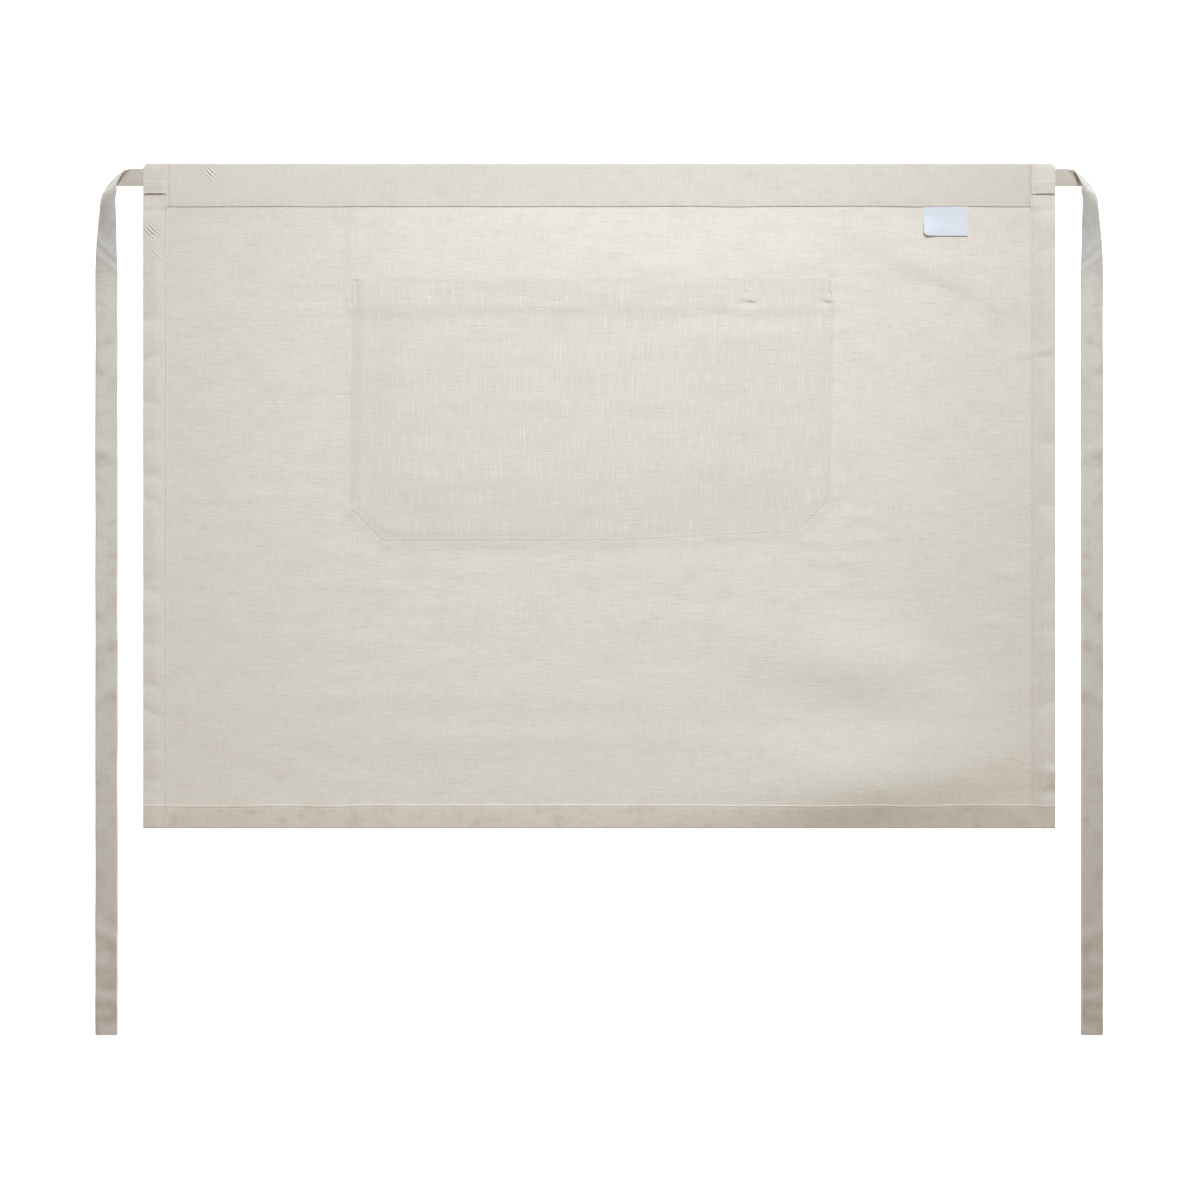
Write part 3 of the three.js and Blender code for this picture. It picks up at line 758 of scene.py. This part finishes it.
def make_bottom_hem(sizes, colours):
    """The bottom hem lies on the panel and, at its ends, on the side hems."""

    def marks(recipe, u, v):
        below_edge = BOTTOM_HEM_EDGE / MM - v
        patches = (recipe.noise(u * 0.06, v * 0.08, 3.0) - 0.5) * 0.9
        sewn = line_at(below_edge - sizes.seam_inset / MM)
        return [
            (patches.held(), colours.slub_and_shade),
            # Painted shade: a darker stretch on the hem's right part, where the lower right ridge's
            # shade runs on.
            (u.between(120, 280) * (1 - u.between(395, 435)) * 0.14, colours.slub_and_shade),
            (sewn * 0.4, colours.groove_and_shade),
            # Painted highlight along the hem's sewn edge, which faces the lamp.
            (line_at(below_edge, 1.0) * 0.35, colours.thread),
            # Painted shade along the bottom fold, in the cool shade colour.
            (line_at(v - BOTTOM / MM, 1.4) * 0.5, colours.cool),
        ]

    across = steps(LEFT, RIGHT, 3 * MM)
    under = sizes.cloth + sizes.hem * side_cover(across)
    depth = BOTTOM_HEM_EDGE - BOTTOM + 2 * wavering(across, 15)
    made = hem_piece(
        "bottom_hem_cloth", across, depth, under, sizes, lambda s, inset: (s, BOTTOM + inset)
    )
    material = linen("linen_bottom_hem", colours.bottom_hem, colours, sizes, run=1, marks=marks)
    dress(made, material, ["bottom_hem"])


def make_hems(sizes, colours):
    make_waistband(sizes, colours)
    make_side_hems(sizes, colours)
    make_bottom_hem(sizes, colours)


def pocket_lift(x, y, sizes):
    """The pocket lies on the table, and rises to the panel only at its divider seam."""
    down = MOUTH - y
    from_divider = pocket_across(x, y) - (POCKET_WIDTH / 2 - PEN_SLOT)
    near = 1 - ramp(abs(from_divider), 0, 18 * MM)
    room = lying_height(x, y, sizes) - pocket_layers(down, sizes) - 0.2 * MM
    return np.maximum(room, 0) * near


def make_pocket(sizes, colours):
    """The pocket's rows shorten to its shaped foot, and its hem turns over at the mouth."""
    columns = steps(-POCKET_WIDTH / 2, POCKET_WIDTH / 2, 5 * MM)
    shaped_from = POCKET_HEIGHT - 2 * POCKET_CORNER
    across, down = np.meshgrid(columns, steps(INSIDE_FOLD, POCKET_HEIGHT, 5 * MM))
    shaping = np.clip((down - shaped_from) / (POCKET_HEIGHT - shaped_from), 0, 1)
    cut = np.maximum(0, POCKET_CORNER - (POCKET_WIDTH / 2 - abs(across)))
    down = down + shaping * (bottom_seam_depth(across) - cut - POCKET_HEIGHT)
    x, y = pocket_place(across, down)
    middle = joined(x, y, pocket_lift(x, y, sizes) + sizes.cloth / 2)
    made = wall("pocket_cloth", middle, sizes.cloth)
    material = linen("linen_pocket", colours.pocket, colours, sizes, run=1)
    dress(made, material, ["pocket"])

    depth = POCKET_HEM_DEPTH
    hem = hem_piece("pocket_hem_cloth", columns, depth, sizes.cloth, sizes, pocket_place, pocket_lift)
    dress(hem, material, ["pocket_hem"])


# The ties' course. Lengths are in millimetres, along the flat tie from its sewn end, or down from
# its root's upper edge where it hangs. The slope and the shares are plain numbers.
TIE = SimpleNamespace(
    length=894,
    root=17,  # width at the sewn end
    width=22,  # width further on
    widen=60,  # length past the crease over which it widens
    sewn=18,  # length under the tab
    below_top=13.7,  # from the waistband's upper edge down to the root's middle
    turn_out=24.5,  # from the side hem out to the middle of the crease
    roll=2.2,  # radius of the roll at the crease
    corner_run=12.4,  # height of the outer edge's stretch at 45 degrees
    corner_bend=25,  # height over which that bends to a slant
    drift_slope=0.15,  # the slant
    drift_length=60,  # height over which the slant dies out
    gathered=0.52,  # share of the width that is left at the turn
    opening=90,  # height over which the tie opens to its width
    bunch=0.5,  # rise of the gathered cloth, as a share of what is taken in
    root_level=2.6,  # height of the sewn end above the table
    drop=45,  # length over which it comes down from there
    settle=66,  # where the rolled layer has come down too
    end_round=2,  # radius of the end's corners
    sewn_share=0.55,  # share of the thickness that is left under the tab
)
TIE_CREASE = TIE.sewn + TIE.turn_out
TIE_ROLLED = TIE_CREASE + np.pi * TIE.roll * np.sqrt(2)


def eased_run(share):
    """The area under a smooth step that rises while share goes from 0 to 1, and stays at 1."""
    within = np.clip(share, 0, 1)
    return within**3 - within**4 / 2 + np.maximum(0, share - 1)


def outline_out(down):
    """How far out the turned tie's outer edge is: at 45 degrees, then slanting, then straight."""
    bent = TIE.corner_bend * eased_run((down - TIE.corner_run) / TIE.corner_bend)
    after = down - TIE.corner_run - TIE.corner_bend
    straight = TIE.drift_length * eased_run(after / TIE.drift_length)
    return down - (1 - TIE.drift_slope) * bent - TIE.drift_slope * straight


def tie_half_width(along):
    widened = ramp(along, TIE_CREASE, TIE_CREASE + TIE.widen)
    return (TIE.root + (TIE.width - TIE.root) * widened) / 2


def tie_middle(along, across):
    """The tie's middle surface, out from the panel, up and above the table: it rolls over a crease
    at 45 degrees, goes down face down, bunched narrower, and opens as it settles."""
    root_half = TIE.root / 2
    onward = along - TIE_CREASE
    past, beside = (onward + across) / np.sqrt(2), (onward - across) / np.sqrt(2)
    roll_length = np.pi * TIE.roll
    turned = np.clip(past / TIE.roll, 0, np.pi)
    run = np.where(past < 0, past, TIE.roll * np.sin(turned) - np.maximum(0, past - roll_length))
    flat_out = TIE.turn_out + (beside + run) / np.sqrt(2)
    up = (run - beside) / np.sqrt(2)
    down = root_half - up
    corner_out = TIE.turn_out - root_half
    outer = TIE.turn_out + roll_length / np.sqrt(2) + tie_half_width(along)
    visible = np.minimum(down, outer - corner_out)
    inward = corner_out + visible - flat_out
    opened = np.clip((down - TIE.root) / TIE.opening, 0, 1)
    bunched = (1 - TIE.gathered) * (1 - opened) ** 2
    kept = np.where(inward > 0, 1 - bunched, 1)
    over = ramp(past, 0, roll_length)
    inward_share = np.clip(inward / np.maximum(visible, 0.3), 0, 1)
    arch = 4 * inward_share * (1 - inward_share)
    level = TIE.root_level * (1 - ramp(along, TIE.sewn, TIE.sewn + TIE.drop))
    rolled = TIE.roll * (1 - np.cos(turned)) * (1 - ramp(down, TIE.root, TIE.settle))
    bunch = TIE.bunch * bunched * visible * arch * over
    out = flat_out + over * (corner_out + outline_out(down) - kept * inward - flat_out)
    return out, up, level + rolled + bunch


def rounded_turn(out, up):
    """Moves the turn's outer edge, which is a straight crease that ends in a kink, onto one curve,
    and lets the stretch from the panel sag a little towards it."""
    down = TIE.root / 2 - up
    count, high = 40, 2
    bins = np.clip(down / high, 0, count - 1).astype(int).ravel()
    order = np.argsort(out, axis=None)
    outermost = np.full(count, -1)
    outermost[bins[order]] = order
    outermost = outermost[outermost >= 0]
    reach = np.interp(down, down.ravel()[outermost], out.ravel()[outermost])
    corner_out = TIE.turn_out - TIE.root / 2
    bulge = 2.1 * ramp(down, 0, 4) * (1 - ramp(down, 9, 32)) - 1.3 * ramp(down, 20, 50)
    wanted = corner_out + 0.4 + outline_out(np.maximum(down, 0)) + bulge
    near = bell(np.maximum(reach - out, 0), 6)
    moved = (wanted - reach) * near * ramp(down, 0, 3) * (1 - ramp(down, 60, 110))
    inward = (0.7 * (1 - ramp(down, 40, 75)) + 1.0 * bell(down - 29, 12)) * ramp(down, 15, 22)
    far = bell(reach - out, 9) * ramp(down, 0, 3)
    sag = 1.5 * ramp(out, 8, corner_out + 6) * bell(np.maximum(down, 0), 5)
    return out + moved - inward * (1 - far), up - sag


def tie_surface(sign, sizes):
    """Lines across the tie slant with the crease, and small kinks lift it further down."""
    opened_at = TIE_ROLLED + TIE.opening
    lines = np.concatenate([
        np.linspace(0, TIE_CREASE, 22)[:-1],
        np.linspace(TIE_CREASE, TIE_ROLLED, 20)[:-1],
        np.linspace(TIE_ROLLED, opened_at, 50)[:-1],
        np.linspace(opened_at, TIE.length - 3, 260)[:-1],
        np.linspace(TIE.length - 3, TIE.length, 8),
    ])
    share, line = np.meshgrid(np.sin(np.linspace(-np.pi / 2, np.pi / 2, 15)), lines)
    past_round = np.clip(1 - (TIE.length - line) / TIE.end_round, 0, 1)
    off = TIE.end_round * (1 - np.sqrt(1 - past_round**2))
    edge_wave = 0.25 * soft_noise(line * MM, share, 30 * MM, 1.5, 21 + sign)
    across = share * (tie_half_width(line) + edge_wave - off)
    along = line - across * (ramp(line, 0, TIE_CREASE) - ramp(line, TIE_ROLLED, opened_at))
    out, up, above = tie_middle(along, across)
    out, up = rounded_turn(out, up)
    settled = ramp(line, opened_at - 40, opened_at + 40)
    for place, high, wide, slant in TIE_KINKS:
        above = above + high * bell(along - place - slant * across, wide)
    waves = 0.25 + 0.25 * soft_noise(line * MM, share, 36 * MM, 1.2, 25 + sign)
    above = above + settled * waves
    thin = TIE.sewn_share + (1 - TIE.sewn_share) * ramp(line, TIE.sewn, TIE.sewn + 12)
    rounded = sizes.tie * thin * (0.45 + 0.55 * np.sqrt(1 - share**8))
    level = above * MM + sizes.tie * thin / 2
    middle = joined(sign * (HALF + out * MM), TOP + (up - TIE.below_top) * MM, level)
    plan = np.stack([across * MM, line * MM], axis=-1)
    return middle, rounded, plan


def make_ties(sizes, colours):
    """Both ties, with the shades of the turn and of their far ends."""

    def tie_marks(recipe, u, v):
        widened = (v - TIE_CREASE).between(0, TIE.widen) * ((TIE.width - TIE.root) / 2)
        edge = widened + TIE.root / 2 - u.size()
        patches = (recipe.noise(u * 0.05, v * 0.06, 4.0) - 0.5) * 1.2
        # Painted shade: end and lower darken the ties towards their far ends, where the lamp's light
        # falls off.
        end = (v - TIE.length + 140).between(0, 120) * (patches + 0.15).held()
        lower = (v - 330).between(0, 460) * 0.27
        # Painted shade: turned darkens the stretch along the crease and flat the whole stretch from the
        # panel, under the turned layer; rolled darkens the roll.
        turned = (v - 34).between(0, 9) * (1 - (v - 43).between(0, 1)) * 0.62
        flat = (1 - (v - 42).between(0, 2)) * 0.28
        rolled = (v - TIE_CREASE + 1).between(0, 1.5) * (1 - (v - TIE_CREASE - 3).between(0, 4))
        # Painted shade in the cool shade colour on the stretch below the turn.
        cool = (v - 55).between(0, 25) * (1 - (v - 110).between(0, 60))
        return [
            (patches.held(), colours.slub_and_shade),
            (lower, colours.slub_and_shade),
            (flat, colours.groove_and_shade),
            (turned, colours.shade),
            (rolled * 0.45, colours.slub_and_shade),
            (end, colours.slub_and_shade),
            (cool * 0.35, colours.cool),
            # Painted shade along the tie's edges, in the cool shade colour.
            (line_at(edge, 1.5) * 0.3, colours.cool),
        ]

    material = linen("linen_tie", colours.tie, colours, sizes, run=1, marks=tie_marks)
    for sign, side in SIDES:
        middle, rounded, plan = tie_surface(sign, sizes)
        made = wall(f"tie_{side}_cloth", middle, rounded, plan)
        dress(made, material, [f"tie_{side}"])


def make_tabs(sizes, colours):
    """A tab is draped over the tie's sewn end, and its free lower edge stands up a little."""

    def tab_marks(recipe, u, v):
        reach = (u.size() - TAB_EDGE / MM).between(2.5, 4.5) * (HALF / MM - u.size()).between(1, 3)
        reach = reach * (1 - u.between(-10, 10) * 0.45)
        fold = line_at(v - TAB_FOOT / MM - 12.5, 1.0) * 0.3
        return [(line_at(v - TAB_FOOT / MM, 0.9) * reach, colours.shade), (fold, colours.thread)]

    material = linen("linen_tab", colours.hem, colours, sizes, run=1, marks=tab_marks)
    for sign, side in SIDES:
        inset, below = np.meshgrid(steps(0, HALF - TAB_EDGE, 1 * MM), steps(0, TOP - TAB_FOOT, 1 * MM))
        over_end = 1 - ramp(inset, (TIE.sewn + 0.2) * MM, (TIE.sewn + 6) * MM)
        from_tie = abs(below - TIE.below_top * MM) - TIE.root / 2 * MM
        over_width = 1 - ramp(from_tie, 0.2 * MM, 7 * MM)
        hump = (sizes.tie * TIE.sewn_share + 0.15 * MM) * over_end * over_width
        lip = 0.5 * MM * ramp(below, TOP - TAB_FOOT - 7 * MM, TOP - TAB_FOOT)
        lip = lip * (1 - ramp(inset, HALF - TAB_EDGE - 6 * MM, HALF - TAB_EDGE - 1 * MM))
        x, y = cut_corners(sign * (HALF - inset), TOP - below)
        level = lying_height(x, y, sizes) + sizes.cloth + 2 * sizes.hem + 0.1 * MM
        middle = joined(x, y, level + hump + lip + sizes.cloth / 2)
        made = wall(f"tie_tab_{side}_cloth", middle, sizes.cloth)
        dress(made, material, [f"tie_tab_{side}"])


def make_label(sizes, colours):
    """The label hangs from the waistband's edge, and its free corners curl up."""
    columns = steps(LABEL_LOW.x, LABEL_HIGH.x, 1.2 * MM)
    x, y = np.meshgrid(columns, steps(LABEL_LOW.y, BAND_EDGE + 1 * MM, 1.2 * MM))
    down = BAND_EDGE - y
    deep = ramp(down, 4 * MM, BAND_EDGE - LABEL_LOW.y)
    leftward = ramp(-x, -LABEL_LOW.x - 16 * MM, -LABEL_LOW.x)
    curl = (0.6 + 1.3 * leftward) * MM * deep
    level = lying_height(x, y, sizes) + sizes.cloth + 0.15 * MM
    radius = 4.5 * MM
    dx, dy = radius - (x - LABEL_LOW.x), radius - (y - LABEL_LOW.y)
    inner = np.maximum(dx, dy) / np.maximum(np.hypot(dx, dy), 1e-9)
    drawn = np.where((dx > 0) & (dy > 0), 1 - inner, 0)
    middle = joined(x + dx * drawn, y + dy * drawn + 0.5 * leftward * deep * MM, level + curl)
    made = wall("care_label_tape", middle, sizes.label, np.stack([x, y], axis=-1))
    dress(made, label_material(colours), ["care_label"])


# Stitches


def stitch_mesh(name, starts, ends, width, arch, material):
    """Small spindles from start to end: four-sided rings that swell and rise between the ends."""
    share = np.array([0, 0.3, 0.7, 1.0])
    swell = np.array([0.35, 1.0, 1.0, 0.35])
    rise = np.array([-0.6, 1.0, 1.0, -0.6])
    around = np.array([0.25, 0.75, 1.25, 1.75]) * np.pi
    along = unit(ends - starts)
    up = np.broadcast_to(np.array([0, 0, 1.0]), along.shape)
    sideways = unit(np.cross(up, along))
    up = np.cross(along, sideways)
    centre = starts[:, None] + (ends - starts)[:, None] * share[None, :, None]
    centre = centre + (arch * rise)[None, :, None] * np.array([0, 0, 1.0])
    radius = (width / 2 * swell)[None, :, None, None]
    flatness = 0.5
    ring = np.cos(around)[:, None] * sideways[:, None, None]
    ring = ring + flatness * np.sin(around)[:, None] * up[:, None, None]
    points = (centre[:, :, None] + radius * ring).reshape(-1, 3)
    count = len(starts)
    index = np.arange(count * 16).reshape(count, 4, 4)
    following = np.roll(index, -1, axis=2)
    sides = [index[:, :-1], following[:, :-1], following[:, 1:], index[:, 1:]]
    sides = np.stack(sides, axis=-1).reshape(-1, 4)
    caps = np.concatenate([index[:, 0, ::-1], index[:, 3]])
    made = write_mesh(name, points, np.concatenate([sides, caps]))
    dress(made, material)


def stitch_ends(path, sizes, share=0.55):
    """Where the stitches along a path of straight runs start and end. share is the part of the
    pitch that a stitch takes up."""
    path = np.asarray(path, float)
    run = np.concatenate([[0], np.cumsum(np.linalg.norm(np.diff(path, axis=0), axis=1))])
    first = np.arange(0, run[-1] - sizes.stitch_pitch, sizes.stitch_pitch)
    return [
        np.stack([np.interp(at, run, line) for line in path.T], axis=-1)
        for at in (first, first + share * sizes.stitch_pitch)
    ]


def raised(places, sizes, level):
    """Plan places at the heights that level gives."""
    x, y = places.T
    return joined(x, y, level(x, y, sizes))


def seam(path, sizes, level):
    return [raised(places, sizes, level) for places in stitch_ends(path, sizes)]


def bar_tack(place, sizes, level):
    """Close zigzag stitches across a short upright line."""
    x, low, high = place
    start, end = np.array([x, low]) * MM, np.array([x, high]) * MM
    length, half_width = np.linalg.norm(end - start), 1.7 * MM
    count = int(length / (0.8 * MM))
    share = (np.arange(count) / count)[:, None]
    leftward = np.array([-half_width, 0])
    right = start + (end - start) * share - leftward
    left = start + (end - start) * (share + 0.5 / count) + leftward
    return [raised(places, sizes, level) for places in (right, left)]


def together(rows):
    return [np.concatenate([row[n] for row in rows]) for n in (0, 1)]


# Stitches sink a little into the face that they lie on, and rise between their ends.
STITCH_SUNK = 0.02 * MM
STITCH_ARCH = 0.16 * MM
SEAM_DIP = 0.2 * MM
TACK_THREAD = 0.72


def on_panel(x, y, sizes):
    return lying_height(x, y, sizes) + sizes.cloth - STITCH_SUNK


def on_band(x, y, sizes):
    return on_panel(x, y, sizes) + (sizes.hem - SEAM_DIP)


def on_side(x, y, sizes):
    return on_band(x, y, sizes) + sizes.hem * band_cover(y)


def on_bottom(x, y, sizes):
    return on_band(x, y, sizes) + sizes.hem * side_cover(x)


def below_panel(x, y, sizes):
    return lying_height(x, y, sizes) + STITCH_SUNK


def below_pocket(x, y, sizes):
    return pocket_lift(x, y, sizes) + STITCH_SUNK


def hem_seams(sizes):
    """Name, rows of stitches, slot and side of each hem's seam: 1 is the inside, which shows."""
    band_y = BAND_EDGE + sizes.seam_inset
    side_x = SIDE_HEM_EDGE + sizes.seam_inset
    bottom_y = BOTTOM_HEM_EDGE - sizes.seam_inset
    band = [[-SIDE_HEM_EDGE, band_y], [SIDE_HEM_EDGE, band_y]]
    bottom = [[LEFT + 1 * MM, bottom_y], [RIGHT - 1 * MM, bottom_y]]
    left, right = [[[x, BOTTOM_HEM_EDGE], [x, TOP - 1 * MM]] for x in (-side_x, side_x)]
    outside = [seam(path, sizes, below_panel) for path in (band, bottom, left, right)]
    return [
        ("waistband_stitches", [seam(band, sizes, on_band)], "linen_waistband", 1),
        ("side_hem_left_stitches", [seam(left, sizes, on_side)], "linen_hem", 1),
        ("side_hem_right_stitches", [seam(right, sizes, on_side)], "linen_hem", 1),
        ("bottom_hem_stitches", [seam(bottom, sizes, on_bottom)], "linen_bottom_hem", 1),
        ("hem_stitches_outside", outside, "linen_hem", -1),
    ]


def pocket_seams(sizes):
    """The same for the pocket's outline, divider and hem, and for the bar tacks at its mouth."""
    half = POCKET_WIDTH / 2 - sizes.seam_inset
    foot = POCKET_HEIGHT - sizes.seam_inset
    curve = np.linspace(-half + POCKET_CORNER, half - POCKET_CORNER, 24)
    outline = [pocket_place(-half, 0), pocket_place(-half, foot - POCKET_CORNER)]
    outline += [pocket_place(a, bottom_seam_depth(a) - sizes.seam_inset) for a in curve]
    outline += [pocket_place(half, foot - POCKET_RISE - POCKET_CORNER), pocket_place(half, 0)]
    divider = POCKET_WIDTH / 2 - PEN_SLOT
    dividing = [pocket_place(divider, 0), pocket_place(divider, foot - POCKET_RISE)]
    hem_seam = POCKET_HEM_DEPTH - sizes.seam_inset
    hem = [pocket_place(-half, hem_seam), pocket_place(half, hem_seam)]
    inside = [seam(path, sizes, on_panel) for path in (outline, dividing)]
    outside = [seam(path, sizes, below_pocket) for path in (outline, dividing, hem)]
    tacks_inside = [bar_tack(place, sizes, on_panel) for place in TACKS]
    tacks_outside = [bar_tack(place, sizes, below_pocket) for place in TACKS]
    return [
        ("pocket_stitches_inside", inside, "linen_panel", 1),
        ("pocket_stitches_outside", outside, "linen_pocket", -1),
        ("tacks_inside", tacks_inside, "linen_panel", 1),
        ("tacks_outside", tacks_outside, "linen_pocket", -1),
    ]


def make_stitches(sizes, colours):
    """Seams along each hem and round the pocket, on both faces, and the tacks at its mouth."""
    thread = thread_material(colours)
    for name, rows, slot, side in hem_seams(sizes) + pocket_seams(sizes):
        starts, ends = together(rows)
        width = sizes.stitch_width * (TACK_THREAD if name.startswith("tacks") else 1)
        stitch_mesh(name, starts, ends, width, side * STITCH_ARCH, thread)
    for sign, side in SIDES:
        make_tie_stitches(sign, side, sizes, thread)


def make_tie_stitches(sign, side, sizes, thread):
    """One row along the tie's outer edge, from where it lies flat to its end."""
    middle, rounded, _ = tie_surface(sign, sizes)
    outer_column, lying_rows = 12, slice(150, -4)
    up = rounded[lying_rows, outer_column, None] / 2 * np.array([0, 0, 1.0])
    starts, ends = stitch_ends(middle[lying_rows, outer_column] + up, sizes, 0.8)
    arch = 0.14 * MM
    stitch_mesh(f"tie_{side}_stitches", starts, ends, sizes.stitch_width, arch, thread)


# Stage

PHOTO_PIXELS = 1200
PIXEL = 0.98684 * MM
PHOTO_MIDDLE = Vector((0.74 * MM, -0.6 * MM, 2 * MM))
CAMERA_HEIGHT = 6.0
SENSOR_MM = 36.0
LAMP_PLACE = Vector((0.68, 3.3, 2.3))
LAMP_AIM = Vector((0.015, 0.31, 0))
FLOOR_REACH = 60.0
FLOOR_LEVEL = -0.3 * MM


def make_stage():
    scene = bpy.context.scene
    camera = bpy.data.cameras.new("photo_camera")
    camera.sensor_width = SENSOR_MM
    camera.lens = SENSOR_MM * CAMERA_HEIGHT / (PHOTO_PIXELS * PIXEL)
    camera.clip_end = 50
    held = bpy.data.objects.new("photo_camera", camera)
    held.location = PHOTO_MIDDLE + Vector((0, 0, CAMERA_HEIGHT))
    scene.collection.objects.link(held)
    scene.camera = held

    scene.view_settings.view_transform = "Standard"
    world = bpy.data.worlds.new("studio")
    world.use_nodes = True
    world.node_tree.nodes["Background"].inputs["Color"].default_value = (1, 0.89, 0.75, 1)
    world.node_tree.nodes["Background"].inputs["Strength"].default_value = 0.42
    scene.world = world

    lamp = bpy.data.lights.new("soft_lamp", "SPOT")
    lamp.color = (1, 1.08, 1.15)
    lamp.shadow_soft_size = 0.42
    lamp.spot_size = radians(28.2)
    lamp.spot_blend = 1.0
    lamp.energy = 622
    hung = bpy.data.objects.new("soft_lamp", lamp)
    hung.location = LAMP_PLACE
    hung.rotation_euler = (LAMP_AIM - LAMP_PLACE).to_track_quat("-Z", "Y").to_euler()
    scene.collection.objects.link(hung)

    corners = FLOOR_REACH * np.array([[-1, -1], [1, -1], [1, 1], [-1, 1]])
    points = np.column_stack([corners, np.full(4, FLOOR_LEVEL)])
    floor = write_mesh("floor", points, np.array([[0, 1, 2, 3]]))
    recipe = Recipe("pale_floor")
    place = recipe.node("ShaderNodeTexCoord", output="Object")
    grain = recipe.node("ShaderNodeTexNoise", {}, {"Vector": place, "Scale": 30.0})
    settings = {
        "Base Color": (0.93, 0.93, 0.93, 1.0),
        "Roughness": 0.9,
        "Emission Color": (1, 1, 1, 1),
        "Emission Strength": 0.72,
    }
    floor.data.materials.append(recipe.finish(settings, grain, 0.01 * MM))


class ApronOperator:
    """Runs its class's make with the scene's sizes and colours."""

    bl_options = {"REGISTER", "UNDO"}

    def execute(self, context):
        self.make(context.scene.apron_sizes, context.scene.apron_colours)
        return {"FINISHED"}


class APRON_OT_stage(bpy.types.Operator):
    """Adds the camera, the light and the floor"""

    bl_idname = "apron.make_stage"
    bl_label = "Stage"

    def execute(self, context):
        make_stage()
        return {"FINISHED"}


class APRON_OT_panel(ApronOperator, bpy.types.Operator):
    """Makes the panel, with its folds and the relief of the pocket behind"""

    bl_idname = "apron.make_panel"
    bl_label = "Panel"

    make = staticmethod(make_panel)


class APRON_OT_hems(ApronOperator, bpy.types.Operator):
    """Makes the waistband and the turned hems"""

    bl_idname = "apron.make_hems"
    bl_label = "Waistband and hems"

    make = staticmethod(make_hems)


class APRON_OT_pocket(ApronOperator, bpy.types.Operator):
    """Makes the pocket and its hem"""

    bl_idname = "apron.make_pocket"
    bl_label = "Pocket"

    make = staticmethod(make_pocket)


class APRON_OT_ties(ApronOperator, bpy.types.Operator):
    """Makes both ties"""

    bl_idname = "apron.make_ties"
    bl_label = "Ties"

    make = staticmethod(make_ties)


class APRON_OT_tabs(ApronOperator, bpy.types.Operator):
    """Makes the tabs over the ties' sewn ends"""

    bl_idname = "apron.make_tabs"
    bl_label = "Tie tabs"

    make = staticmethod(make_tabs)


class APRON_OT_label(ApronOperator, bpy.types.Operator):
    """Makes the bare label"""

    bl_idname = "apron.make_label"
    bl_label = "Label"

    make = staticmethod(make_label)


class APRON_OT_stitches(ApronOperator, bpy.types.Operator):
    """Makes every seam's stitches"""

    bl_idname = "apron.make_stitches"
    bl_label = "Stitches"

    make = staticmethod(make_stitches)


OPERATORS = [
    APRON_OT_stage,
    APRON_OT_pocket,
    APRON_OT_panel,
    APRON_OT_hems,
    APRON_OT_ties,
    APRON_OT_tabs,
    APRON_OT_label,
    APRON_OT_stitches,
]


class APRON_PT_sidebar(bpy.types.Panel):
    """Lists the apron's pieces, sizes and colours"""

    bl_label = "Apron"
    bl_idname = "APRON_PT_sidebar"
    bl_space_type = "VIEW_3D"
    bl_region_type = "UI"
    bl_category = "Apron"

    def draw(self, context):
        for operator in OPERATORS:
            self.layout.operator(operator.bl_idname)
        for group in (context.scene.apron_sizes, context.scene.apron_colours):
            for name in group.__annotations__:
                self.layout.prop(group, name)


CLASSES = [ApronSizes, ApronColours, *OPERATORS, APRON_PT_sidebar]


def register():
    for made in CLASSES:
        bpy.utils.register_class(made)
    bpy.types.Scene.apron_sizes = bpy.props.PointerProperty(type=ApronSizes)
    bpy.types.Scene.apron_colours = bpy.props.PointerProperty(type=ApronColours)


def unregister():
    del bpy.types.Scene.apron_colours
    del bpy.types.Scene.apron_sizes
    for made in reversed(CLASSES):
        bpy.utils.unregister_class(made)


def main():
    register()
    for operator in OPERATORS:
        group, name = operator.bl_idname.split(".")
        getattr(getattr(bpy.ops, group), name)()


if __name__ == "__main__":
    main()
